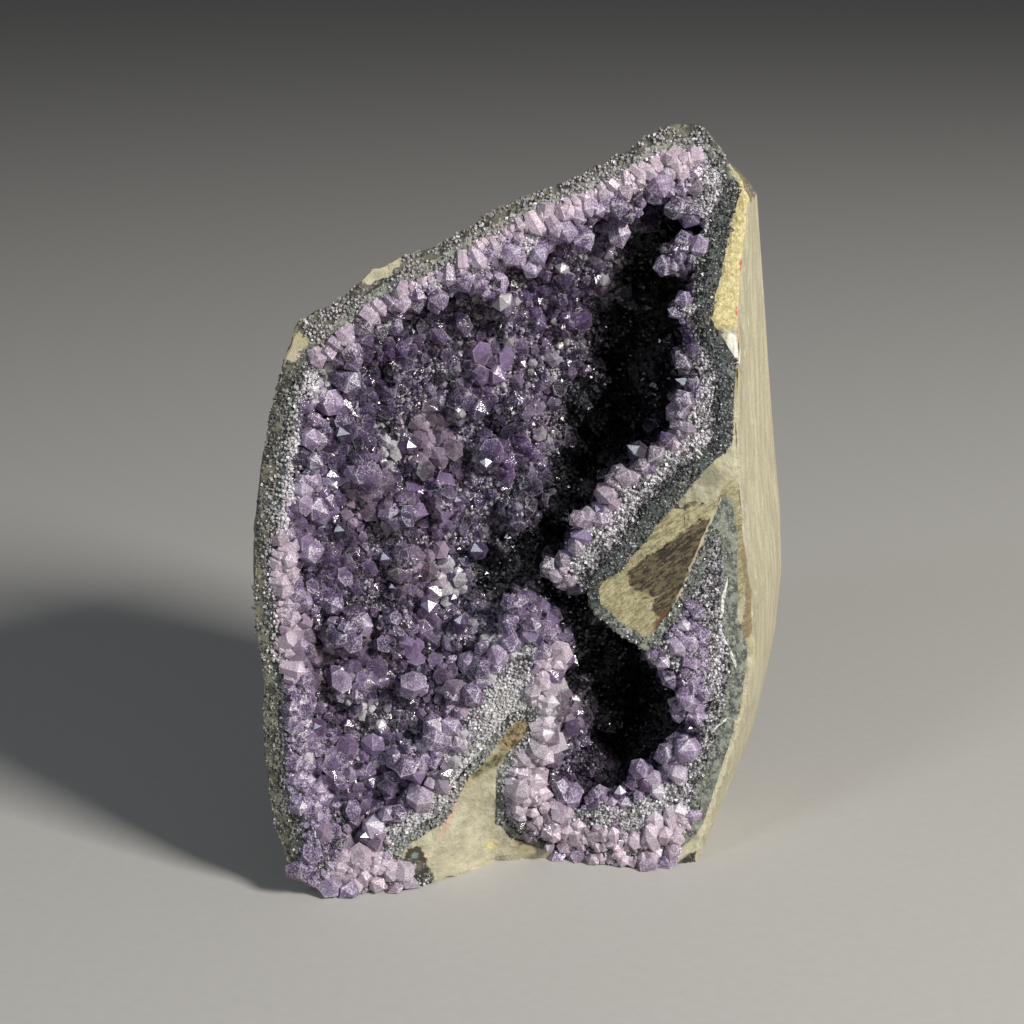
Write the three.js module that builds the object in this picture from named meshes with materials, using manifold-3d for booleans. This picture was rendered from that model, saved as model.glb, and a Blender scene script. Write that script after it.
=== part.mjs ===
// An amethyst geode that stands on a sawn base: a lump of grey basalt, broken open at the front. Its
// hollow is lined with a thin dark rind of chalcedony, and the rind carries a crust of amethyst points.
// Millimetres. +X is the viewer's right, +Y runs from the broken face to the back, +Z is up.
// The stone stands on the plane Z = 0, and the middle of its bounding box is over the origin.
import * as THREE from "three";
import { mergeVertices } from "three/addons/utils/BufferGeometryUtils.js";
import Module from "manifold-3d";

const wasm = await Module();
wasm.setup();

// The broken face leans back and turns a little to the right
const FACE_FRONT = -45; // Y at the foot of the left lobe, the nearest point
const FACE_FRONT_X = -43;
const FACE_TURN = 0.194; // back by this much for each millimetre to the right
const FACE_LEAN = 0.121; // back by this much for each millimetre up
const FACE_LUMPS = { width: 9, height: 0.9, seed: 3 };
const NOTCH = { x: 4, z: 0, halfWidth: 17, halfHeight: 24, depth: 14 }; // the step back between the two feet

// The stone behind the face. Its sides draw in behind the belly, and its back is domed
const BELLY_Y = 8;
const SHOULDER_Y = 30;
const SHOULDER_SCALE = 0.9;
const SIDES_END = { y: 64, scale: 0.72 };
const CORE = { x: 3, z: 45 }; // the sides draw in towards this point
const BACK = { x: 2, z: 82, y: 48, halfWidth: 78, halfHeight: 122, drop: 44, squareness: 4, roundness: 3.2 };
const BACK_LUMPS = { width: 24, height: 3.2, seed: 7 };
const BACK_KNOBS = { width: 11, height: 1.3, seed: 2 };
const SIDE_LUMPS = { width: 14, height: 2.2 };
const GROUND_FLANK = { fromX: 30, toX: 55 }; // the right side was ground smooth, and has no lumps
const BELOW_BASE = 4; // the lump runs on under the sawn base, and is cut off there
const WALL_LEAST = 1.6; // thinnest basalt around the hollow
const INSET_ON_SLOPE = 1.3; // the sides slant, so an inner lump draws in by this much more at the face

// The linings of the hollow. Each surface lies this far in from the basalt: on the broken face, and on
// the wall of the hollow. On the face the crust runs to the inner edge that OPENING gives
const BASALT = { onFace: 0, onWall: 0 };
const RIND_OUTSIDE = { onFace: 0.35, onWall: 0.7 };
const RIND_INSIDE = { onFace: 1.9, onWall: 3 };
const CRUST_OUTSIDE = { onFace: 2.25, onWall: 3.8 };
const CRUST_INSIDE = { onWall: 9.5 };
const LONGEST_MITRE = 3.5; // where the edge of a lining turns sharply
const THICK_RIND = { x: 37, z: 93, halfWidth: 15, halfHeight: 17, growth: 1.2 }; // on top of the right spur

// Size of the flats that the uneven faces are made of
const FACE_CELL = 21;
const WALL_CELL = 13.5; // the same on all the linings, so that none shows through the next
const BACK_CELL = 16;
const OUTER_STEPS = 6; // from the broken face to the end of the sides
const HIDDEN_STEPS = 4;

// The crystals. Lengths and the buried root are in radii
const CRYSTAL_SIDES = 6;
const CRYSTAL_ROOT = 1.5;
const TIP_HEIGHT = 1.3;
const STAND_OUT = 2; // how far a tip may reach in front of the broken face
const WALL_CRYSTALS = {
  spacing: 14, wander: 0.8, least: 3, most: 5.6, mostAreSmall: 1.6, length: 1.9, tilt: 0.8,
};
const RIM_CRYSTALS = { spacing: 13, least: 2.6, most: 4.4, length: 1.8, behindFace: 0.5, spread: 3 };

const FROM_EDGE = 2.5; // a point on the wall is at least this far from the crust's edge
const CRUST_SLOPE_STEP = 2;
const WALL_ABOVE_ROOT = 4; // a rim point may be buried this deep in the wall, and no deeper

// Room for the blocks that cut the lump, and for its own run past the cuts
const BLOCK = { lowX: -90, lowZ: -20, width: 190, height: 230 };
const BEYOND = 120;
const IN_FRONT = 30;

// Outer edge of the broken face, clockwise from the left foot: x, z, and how far the rock swells behind it
const RIM = [
  [-43, -BELOW_BASE, 0], [-49.5, 3.6, 0], [-56, 10, 1], [-59.4, 19, 2], [-61, 29.5, 2.5], [-61, 42.5, 3],
  [-61.3, 55.4, 3.5], [-62.5, 65.8, 3.5], [-63.5, 76, 3.5], [-62.7, 88.5, 3.5], [-61.2, 103.3, 3],
  [-60.2, 115.5, 2], [-57.5, 128.8, 0], [-53.7, 139.5, -3], [-51.2, 145.4, -6], [-44, 150, -9],
  [-33.2, 158.3, -11], [-20, 162.7, -11], [-7.8, 169.3, -10.5], [4.4, 175.2, -10], [16.6, 179.3, -9],
  [27.7, 184.7, -8.5], [35.1, 189.6, -8], [41.3, 191, -7], [47.1, 190, -6], [52.2, 184.7, -4.5],
  [56.6, 177.8, -0.5], [58.8, 171.7, 3.7], [57.5, 159.4, 6.5], [56.8, 147, 8.5], [57, 135.8, 9.4],
  [57.3, 121.9, 10.5], [57.7, 104, 12], [59.2, 85.7, 12.8], [62.2, 69.8, 10.8], [62.5, 53.8, 9.5],
  [61, 40.5, 9], [57.2, 27.3, 10.3], [52.7, 14, 10.8], [47, -BELOW_BASE, 9], [20, -BELOW_BASE, 0],
  [-12, -BELOW_BASE, 0],
];

// Edge of the hollow on the broken face, clockwise from the left foot. Each row has x and z where the
// basalt ends, then x and z where the crystals begin
const OPENING = [
  [-41, 1.8, -37, 6], [-48, 6, -44, 11], [-54, 13, -49, 16], [-59, 31, -54, 32], [-59, 55, -55, 55],
  [-61, 76, -57, 75], [-61, 88, -56, 88], [-59, 102, -55, 101], [-55, 127, -51, 125], [-51, 139, -47, 135],
  [-39, 149, -35, 145], [-29, 156, -27, 151], [-18, 160, -16, 153], [-7, 167, -4, 159], [5, 172.5, 7, 164],
  [28, 181.5, 30, 173], [36, 186.5, 36, 177], [47, 187, 44, 178], [52, 181.5, 46, 175], [55, 174, 47, 170],
  [52, 166, 46, 164], [50, 151, 44, 150], [49, 143, 44, 142], [55, 132, 47, 129], [55, 110, 43, 112],
  [50, 106, 38, 108], [39, 93, 27, 97], [28, 80, 17, 86], [22, 76, 14, 81], [22, 72, 17.5, 75.5],
  [28, 66, 26.9, 64.7], [35, 61, 33.8, 59.3], [43, 71, 39, 55.5], [55, 100, 44, 51.5], [57, 88, 45, 50],
  [57, 66, 46.5, 45], [60, 57, 47, 42], [58, 37, 47.5, 35.5], [54, 23, 46, 28], [50, 17, 43, 25],
  [48, 9, 40, 22], [44, 4, 36, 19], [36, 2, 30, 17], [17, 2, 16, 14], [10, 2.2, 11, 16], [0, 7, 4, 21],
  [-4, 13, 2, 25], [-4, 27, 2.5, 32], [-1, 34, 5, 35.5], [4, 38, 7.5, 40], [4, 43, 8, 45], [0, 42, 2, 48],
  [-7, 32, -10, 37], [-12, 27, -16, 33], [-17, 16.5, -22, 21.5], [-22, 14.5, -27, 20], [-28, 11, -32, 16],
  [-29, 6, -34, 11], [-28, 1.8, -33, 7],
];

// How deep the basalt wall of the hollow lies: x, z, and Y of the wall there
const WALL_POINTS = [
  [-60, 75, -26], [-59, 110, -23], [-50, 141, -15], [-58, 40, -30], [-50, 12, -32], [-34, 5, -30],
  [-37, 130, -5], [-40, 88, -11], [-42, 55, -18], [-40, 28, -20], [-28, 20, -21],
  [-10, 150, 4], [-14, 112, 6], [-14, 82, 0], [-16, 58, -11], [-20, 38, -20],
  [0, 46, -21], [6, 54, -20], [7, 60, -18], [0, 74, -6], [-4, 40, -27],
  [20, 50, 14], [30, 40, 25], [46, 46, 15], [30, 16, 5], [52, 26, 0], [14, 22, 6], [8, 12, -10],
  [11, 80, 13], [17, 69, 16], [23, 75, 25], [24, 100, 32], [32, 135, 31], [46, 118, 27], [36, 166, 16],
  [10, 140, 17], [47, 150, 20], [16, 162, 8], [56, 80, 0],
];
const WALL_POWER = 3.4; // how sharply the wall turns from one of these depths to the next
const WALL_SOFTNESS = 3;
const WALL_LUMPS = { width: 15, height: 1.6, seed: 9 };
const SLOPE_STEP = 6; // the slope of the wall is taken over this distance
const STEEPEST = 2.2; // a lining on a steep wall reaches forward by this much of its thickness at most

// The sides of the hollow, ring by ring from before the face to behind the deepest wall. Behind the right
// rim they open out
const HOLLOW_RINGS = [-75, -14, 16, 60];
const HOLLOW_WANDER = { size: 0.7, rows: 1.7, rings: 0.9, seed: 5 };
const UNDERCUT = { fromX: 44, toX: 52, growth: 0.32, reach: 40 };

// Repeatable numbers from 0 to 1
function randomFrom(seed) {
  let state = seed;
  return () => {
    state = (state * 1664525 + 1013904223) % 4294967296;
    return state / 4294967296;
  };
}

function latticeValue(i, j, k) {
  const mixed = Math.sin(i * 127.1 + j * 311.7 + k * 74.7) * 43758.5453;
  return 2 * (mixed - Math.floor(mixed)) - 1;
}

// Smooth lumps from -1 to 1, one lump for each unit of length
function lumps(x, y, z) {
  const [i, j, k] = [Math.floor(x), Math.floor(y), Math.floor(z)];
  const [u, v, w] = [x - i, y - j, z - k].map((t) => t * t * (3 - 2 * t));
  let sum = 0;
  for (const a of [0, 1]) {
    for (const b of [0, 1]) {
      for (const c of [0, 1]) {
        const share = (a ? u : 1 - u) * (b ? v : 1 - v) * (c ? w : 1 - w);
        sum += share * latticeValue(i + a, j + b, k + c);
      }
    }
  }
  return sum;
}

// Height of the lumps of one kind at a place on a surface that faces the front or the back
function lumpsAcross(x, z, kind) {
  return kind.height * lumps(x / kind.width, kind.seed, z / kind.width);
}

// Y of the broken face
function faceY(x, z) {
  const across = (x - NOTCH.x) / NOTCH.halfWidth;
  const up = (z - NOTCH.z) / NOTCH.halfHeight;
  const notch = NOTCH.depth * Math.exp(-(across ** 2) - up ** 2);
  const plane = FACE_FRONT + FACE_TURN * (x - FACE_FRONT_X) + FACE_LEAN * z;
  return plane + notch + lumpsAcross(x, z, FACE_LUMPS);
}

// Y of the basalt wall at the bottom of the hollow
function wallY(x, z) {
  let sum = 0;
  let weights = 0;
  for (const [px, pz, py] of WALL_POINTS) {
    const weight = 1 / (Math.hypot(x - px, z - pz) + WALL_SOFTNESS) ** WALL_POWER;
    sum += weight * py;
    weights += weight;
  }
  return sum / weights + lumpsAcross(x, z, WALL_LUMPS);
}

// Y of one of the linings' surfaces on that wall. A lining is as thick on a slope as on the level
function liningY(x, z, surface) {
  const slopeX = (wallY(x + SLOPE_STEP, z) - wallY(x - SLOPE_STEP, z)) / (2 * SLOPE_STEP);
  const slopeZ = (wallY(x, z + SLOPE_STEP) - wallY(x, z - SLOPE_STEP)) / (2 * SLOPE_STEP);
  const stretch = Math.min(Math.hypot(1, slopeX, slopeZ), STEEPEST);
  return wallY(x, z) - surface.onWall * stretch;
}

// One of the linings' surfaces on the broken face, as [x, z] for each row of OPENING
function liningEdges(surface) {
  if (surface === CRUST_INSIDE) return OPENING.map(([, , x, z]) => [x, z]);
  const count = OPENING.length;
  const inward = (from, to) => new THREE.Vector2(to[1] - from[1], from[0] - to[0]).normalize();
  return OPENING.map((row, i) => {
    const [x, z] = row;
    const before = inward(OPENING[(i + count - 1) % count], row);
    const after = inward(row, OPENING[(i + 1) % count]);
    const mitre = before.clone().add(after).divideScalar(1 + before.dot(after)).clampLength(0, LONGEST_MITRE);
    const across = (x - THICK_RIND.x) / THICK_RIND.halfWidth;
    const up = (z - THICK_RIND.z) / THICK_RIND.halfHeight;
    const distance = surface.onFace * (1 + THICK_RIND.growth * Math.exp(-(across ** 2) - up ** 2));
    return [x + mitre.x * distance, z + mitre.y * distance];
  });
}

function solidOf(geometry) {
  const bare = geometry.clone();
  bare.deleteAttribute("normal");
  bare.deleteAttribute("uv");
  const merged = mergeVertices(bare, 1e-4);
  return new wasm.Manifold(
    new wasm.Mesh({
      numProp: 3,
      vertProperties: new Float32Array(merged.attributes.position.array),
      triVerts: new Uint32Array(merged.index.array),
    }),
  );
}

function geometryOf(solid) {
  const mesh = solid.getMesh();
  const geometry = new THREE.BufferGeometry();
  geometry.setAttribute("position", new THREE.Float32BufferAttribute(mesh.vertProperties, 3));
  geometry.setIndex([...mesh.triVerts]);
  return geometry.toNonIndexed();
}

function largestOf(solid) {
  return solid.decompose().sort((a, b) => b.volume() - a.volume())[0];
}

// A closed body through rings of points. The rings run clockwise as seen from the front, front ring first
function loftGeometry(rings) {
  const count = rings[0].length;
  const positions = rings.flat().flatMap((p) => [p.x, p.y, p.z]);
  const index = [];
  for (let r = 0; r + 1 < rings.length; r++) {
    for (let i = 0; i < count; i++) {
      const next = (i + 1) % count;
      const [a, b, c, d] = [r * count + i, r * count + next, (r + 1) * count + i, (r + 1) * count + next];
      index.push(a, b, c, b, d, c);
    }
  }
  const last = (rings.length - 1) * count;
  const flat = (ring) => ring.map((p) => new THREE.Vector2(p.x, p.z));
  for (const [i, j, k] of THREE.ShapeUtils.triangulateShape(flat(rings[0]), [])) index.push(i, j, k);
  for (const [i, j, k] of THREE.ShapeUtils.triangulateShape(flat(rings.at(-1)), [])) {
    index.push(last + i, last + k, last + j);
  }
  const geometry = new THREE.BufferGeometry();
  geometry.setAttribute("position", new THREE.Float32BufferAttribute(positions, 3));
  geometry.setIndex(index);
  return geometry;
}

// A block with one uneven side at Y = sideY(x, z). It fills everything from there to farY
function blockGeometry(sideY, farY, cell) {
  const { lowX, lowZ, width, height } = BLOCK;
  const [columns, rows] = [Math.round(width / cell), Math.round(height / cell)];
  const geometry = new THREE.BoxGeometry(width, 1, height, columns, 1, rows);
  const place = geometry.attributes.position;
  const sideIsBack = farY < 0;
  for (let i = 0; i < place.count; i++) {
    const x = place.getX(i) + lowX + width / 2;
    const z = place.getZ(i) + lowZ + height / 2;
    const onSide = place.getY(i) > 0 === sideIsBack;
    place.setXYZ(i, x, onSide ? sideY(x, z) : farY, z);
  }
  return geometry;
}

// Y of the domed back
function backY(x, z) {
  const across = Math.abs((x - BACK.x) / BACK.halfWidth) ** BACK.squareness;
  const up = Math.abs((z - BACK.z) / BACK.halfHeight) ** BACK.squareness;
  const away = (across + up) ** (1 / BACK.squareness);
  const dome = BACK.y - BACK.drop * away ** BACK.roundness;
  return dome + lumpsAcross(x, z, BACK_LUMPS) + lumpsAcross(x, z, BACK_KNOBS);
}

// Lumps on the natural sides of the rock. The right flank was ground smooth
function roughened(point) {
  const ground = THREE.MathUtils.smoothstep(point.x, GROUND_FLANK.fromX, GROUND_FLANK.toX);
  const { x, y, z } = point.clone().divideScalar(SIDE_LUMPS.width);
  const push = (1 - ground) * SIDE_LUMPS.height * lumps(x, y, z);
  const outward = new THREE.Vector3(point.x - CORE.x, 0, point.z - CORE.z).normalize();
  return point.clone().addScaledVector(outward, push);
}

// The whole lump, or a smaller one inside it: inset is the least distance between the two. It runs on in
// front of the broken face
function lumpSolid(inset, steps, cell) {
  const count = RIM.length;
  const columns = RIM.map(([x, z, swell], i) => {
    const [before, after] = [RIM[(i + count - 1) % count], RIM[(i + 1) % count]];
    const outward = new THREE.Vector2(before[1] - after[1], after[0] - before[0]).normalize();
    const drawn = (INSET_ON_SLOPE * inset) / Math.hypot(x - CORE.x, z - CORE.z);
    const rimX = THREE.MathUtils.lerp(x, CORE.x, drawn);
    const rimZ = z < 0 ? z : THREE.MathUtils.lerp(z, CORE.z, drawn);
    const y = faceY(x, Math.max(z, 0));
    const bellyX = rimX + outward.x * swell;
    const bellyZ = rimZ + (z < 0 ? 0 : outward.y * swell);
    const drawnIn = (scale, depth) =>
      new THREE.Vector3(CORE.x + (bellyX - CORE.x) * scale, depth, CORE.z + (bellyZ - CORE.z) * scale);
    const curve = new THREE.CatmullRomCurve3([
      new THREE.Vector3(rimX, y, rimZ),
      new THREE.Vector3(bellyX, BELLY_Y, bellyZ),
      drawnIn(SHOULDER_SCALE, SHOULDER_Y),
      drawnIn(SIDES_END.scale, SIDES_END.y),
    ]);
    const [rim, ...behind] = curve.getPoints(steps);
    return [new THREE.Vector3(rimX, y - IN_FRONT, rimZ), rim, ...behind.map(roughened)];
  });
  const rings = columns[0].map((_, r) => columns.map((column) => column[r]));
  const behindBack = solidOf(blockGeometry((x, z) => backY(x, z) - inset, BEYOND, cell));
  return solidOf(loftGeometry(rings)).subtract(behindBack);
}

function everythingBelow(z) {
  const size = 2 * BEYOND;
  return solidOf(new THREE.BoxGeometry(size, size, size).translate(0, 0, z - BEYOND));
}

// The space inside one of the linings' surfaces
function hollowSolid(surface) {
  const { size, rows, rings: pitch, seed } = HOLLOW_WANDER;
  const rings = HOLLOW_RINGS.map((y, j) =>
    liningEdges(surface).map(([x, z], i) => {
      const [outX, outZ] = OPENING[i];
      const behind = THREE.MathUtils.clamp(y - faceY(outX, outZ), 0, UNDERCUT.reach);
      const onRight = THREE.MathUtils.smoothstep(outX, UNDERCUT.fromX, UNDERCUT.toX);
      const wander = j > 1 ? size * lumps(i / rows, seed, j * pitch) : 0;
      return new THREE.Vector3(x + onRight * UNDERCUT.growth * behind + wander, y, z + wander / 2);
    }),
  );
  const funnel = solidOf(loftGeometry(rings));
  const wall = solidOf(blockGeometry((x, z) => liningY(x, z, surface), BEYOND, WALL_CELL));
  const least = WALL_LEAST + surface.onWall / 2;
  const inner = lumpSolid(least, HIDDEN_STEPS, WALL_CELL);
  return funnel.subtract(wall).intersect(inner).subtract(everythingBelow(least));
}

// One quartz point: six sides that widen from a buried root, then six faces that meet at the tip
function crystalSolid(root, direction, radius, length, turn, skew) {
  const profile = [
    [0, -radius * CRYSTAL_ROOT],
    [radius, length - radius * TIP_HEIGHT],
    [0, length],
  ].map(([r, h]) => new THREE.Vector2(r, h));
  const geometry = new THREE.LatheGeometry(profile, CRYSTAL_SIDES);
  geometry.rotateY(turn);
  const place = geometry.attributes.position;
  for (let i = 0; i < place.count; i++) {
    if (place.getY(i) > length - radius / 2) place.setXYZ(i, skew.x * radius, length, skew.y * radius);
  }
  const up = new THREE.Vector3(0, 1, 0);
  geometry.applyQuaternion(new THREE.Quaternion().setFromUnitVectors(up, direction));
  geometry.translate(root.x, root.y, root.z);
  return solidOf(geometry);
}

function insideOpening(x, z, margin) {
  let inside = false;
  const edge = OPENING.map(([, , ex, ez]) => [ex, ez]);
  for (let i = 0, j = edge.length - 1; i < edge.length; j = i++) {
    const [[ax, az], [bx, bz]] = [edge[i], edge[j]];
    if (Math.hypot(x - ax, z - az) < margin) return false;
    if (az > z !== bz > z && x < ((bx - ax) * (z - az)) / (bz - az) + ax) inside = !inside;
  }
  return inside;
}

// The way out of the crust's inner surface on the wall of the hollow
function outOfWall(x, z) {
  const step = CRUST_SLOPE_STEP;
  const slopeX = (liningY(x + step, z, CRUST_INSIDE) - liningY(x - step, z, CRUST_INSIDE)) / (2 * step);
  const slopeZ = (liningY(x, z + step, CRUST_INSIDE) - liningY(x, z - step, CRUST_INSIDE)) / (2 * step);
  return new THREE.Vector3(slopeX, -1, slopeZ).normalize();
}

// Points that stand on the wall of the hollow, on a loose grid
function wallCrystals(random) {
  const { spacing, wander, least, most, mostAreSmall, length, tilt } = WALL_CRYSTALS;
  const crystals = [];
  for (let gridZ = 8; gridZ < 180; gridZ += spacing) {
    for (let gridX = -58; gridX < 56; gridX += spacing) {
      const x = gridX + (random() - 0.5) * spacing * wander;
      const z = gridZ + (random() - 0.5) * spacing * wander;
      const [size, tiltX, tiltZ, turn, skewX, skewY] = Array.from({ length: 6 }, random);
      if (!insideOpening(x, z, FROM_EDGE)) continue;
      const tilted = new THREE.Vector3(tiltX - 0.5, -0.15, tiltZ - 0.5).multiplyScalar(tilt);
      const direction = outOfWall(x, z).add(tilted).normalize();
      const radius = THREE.MathUtils.lerp(least, most, size ** mostAreSmall);
      const root = new THREE.Vector3(x, liningY(x, z, CRUST_INSIDE), z);
      const tip = root.clone().addScaledVector(direction, radius * length);
      if (tip.y < faceY(tip.x, tip.z) - STAND_OUT) continue;
      const skew = new THREE.Vector2(skewX - 0.5, skewY - 0.5);
      crystals.push(crystalSolid(root, direction, radius, radius * length, turn * Math.PI, skew));
    }
  }
  return crystals;
}

// Points that grow inward from the edge of the opening, just behind the broken face
function rimCrystals(random) {
  const { spacing, least, most, length, behindFace, spread } = RIM_CRYSTALS;
  const crystals = [];
  const edge = new THREE.CatmullRomCurve3(OPENING.map(([, , x, z]) => new THREE.Vector3(x, 0, z)), true);
  const count = Math.round(edge.getLength() / spacing);
  for (let i = 0; i < count; i++) {
    const at = edge.getPointAt(i / count);
    const along = edge.getTangentAt(i / count);
    const [size, lean, back, turn, skewX, skewY] = Array.from({ length: 6 }, random);
    const direction = new THREE.Vector3(along.z, -0.35 - 0.5 * lean, -along.x).normalize();
    const radius = THREE.MathUtils.lerp(least, most, size);
    const root = new THREE.Vector3(at.x, faceY(at.x, at.z) + radius + behindFace + spread * back, at.z);
    if (root.y > liningY(at.x, at.z, CRUST_INSIDE) + WALL_ABOVE_ROOT) continue;
    const skew = new THREE.Vector2(skewX - 0.5, skewY - 0.5);
    crystals.push(crystalSolid(root, direction, radius, radius * length, turn * Math.PI, skew));
  }
  return crystals;
}

const beforeFace = solidOf(blockGeometry(faceY, -BEYOND, FACE_CELL));

function basaltSolid() {
  const lump = lumpSolid(0, OUTER_STEPS, BACK_CELL).subtract(everythingBelow(0)).subtract(beforeFace);
  return largestOf(lump.subtract(hollowSolid(BASALT)));
}

function rindSolid() {
  return largestOf(hollowSolid(RIND_OUTSIDE).subtract(hollowSolid(RIND_INSIDE)).subtract(beforeFace));
}

function crustSolid() {
  const random = randomFrom(11);
  const outside = hollowSolid(CRUST_OUTSIDE);
  const crystals = [...wallCrystals(random), ...rimCrystals(random)].reduce((a, b) => a.add(b));
  const bed = outside.subtract(hollowSolid(CRUST_INSIDE)).subtract(beforeFace);
  return largestOf(bed.add(crystals.intersect(outside)));
}

function named(name, solid, material) {
  const mesh = new THREE.Mesh(geometryOf(solid), new THREE.MeshStandardMaterial(material));
  mesh.name = name;
  return mesh;
}

const geode = new THREE.Group();
geode.add(named("basalt_matrix", basaltSolid(), { color: 0xb9b299, roughness: 0.85, metalness: 0 }));
geode.add(named("chalcedony_rind", rindSolid(), { color: 0x39423f, roughness: 0.55, metalness: 0 }));
geode.add(named("amethyst_crust", crustSolid(), { color: 0x84658f, roughness: 0.2, metalness: 0 }));

const bounds = new THREE.Box3().setFromObject(geode);
geode.position.set(-(bounds.min.x + bounds.max.x) / 2, -(bounds.min.y + bounds.max.y) / 2, -bounds.min.z);

export default geode;
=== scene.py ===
# An amethyst geode that stands on its sawn base, with its broken and crystal-lined side to the camera.
# Lengths in the numpy arrays are millimetres, because the features of the stone are only a few
# millimetres across. Every Blender object is in metres.
import math

import bpy
import numpy as np
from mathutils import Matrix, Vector, bvhtree, kdtree


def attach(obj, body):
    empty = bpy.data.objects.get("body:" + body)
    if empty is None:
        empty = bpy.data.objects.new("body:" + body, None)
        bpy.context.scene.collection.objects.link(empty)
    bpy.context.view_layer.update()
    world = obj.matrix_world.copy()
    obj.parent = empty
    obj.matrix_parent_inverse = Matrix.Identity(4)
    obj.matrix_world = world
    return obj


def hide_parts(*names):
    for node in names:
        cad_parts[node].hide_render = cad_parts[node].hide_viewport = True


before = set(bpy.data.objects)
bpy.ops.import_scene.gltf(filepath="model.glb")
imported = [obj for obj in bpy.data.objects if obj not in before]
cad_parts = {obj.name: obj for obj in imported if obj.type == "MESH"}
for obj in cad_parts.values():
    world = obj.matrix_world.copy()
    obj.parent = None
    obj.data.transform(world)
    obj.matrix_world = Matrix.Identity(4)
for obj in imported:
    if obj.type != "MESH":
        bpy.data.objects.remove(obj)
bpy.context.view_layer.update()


# Camera, light and floor. The camera looks along +Y and down on the stone. One bright soft lamp at the
# front right lights the left wall of the hollow and leaves the upper right of it dark
LOOK_AT = Vector((-0.0028, -0.0019, 0.0885))
CAMERA_DISTANCE = 0.540
CAMERA_DOWN = math.radians(18)
CAMERA_LENS = 72
CAMERA_SENSOR = 36
KEY_FROM = Vector((0.66, -0.52, 0.54))
KEY_DISTANCE = 1.7
KEY_SIZE = 0.40
KEY_POWER = 40.0
FILL_FROM = Vector((-0.75, -0.80, 0.75))
FILL_DISTANCE = 1.3
FILL_SIZE = 0.28
FILL_POWER = 3.2
KEY_COLOUR = (1.0, 0.97, 0.92)
FILL_COLOUR = (0.82, 0.90, 1.0)
ROOM_COLOUR = (0.80, 0.84, 0.90, 1)
ROOM_LIGHT = 0.08
FLOOR_SIZE = 14.0
WOBBLE_SIZE = 2.2  # the size of the lumps in the uneven border of a patch


def tone(red, green, blue):
    """A colour as the eye reads it, 0 to 255, as the numbers that a shader takes"""
    parts = [c / 255 for c in (red, green, blue)]
    linear = [c / 12.92 if c <= 0.04045 else ((c + 0.055) / 1.055) ** 2.4 for c in parts]
    return (*linear, 1.0)


def add_lamp(name, direction, distance, size, power, colour):
    place = LOOK_AT + direction.normalized() * distance
    bpy.ops.object.light_add(type="AREA", location=place)
    lamp = bpy.context.object
    lamp.name = name
    lamp.rotation_euler = (LOOK_AT - place).to_track_quat("-Z", "Y").to_euler()
    lamp.data.size = size
    lamp.data.energy = power
    lamp.data.color = colour


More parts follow.
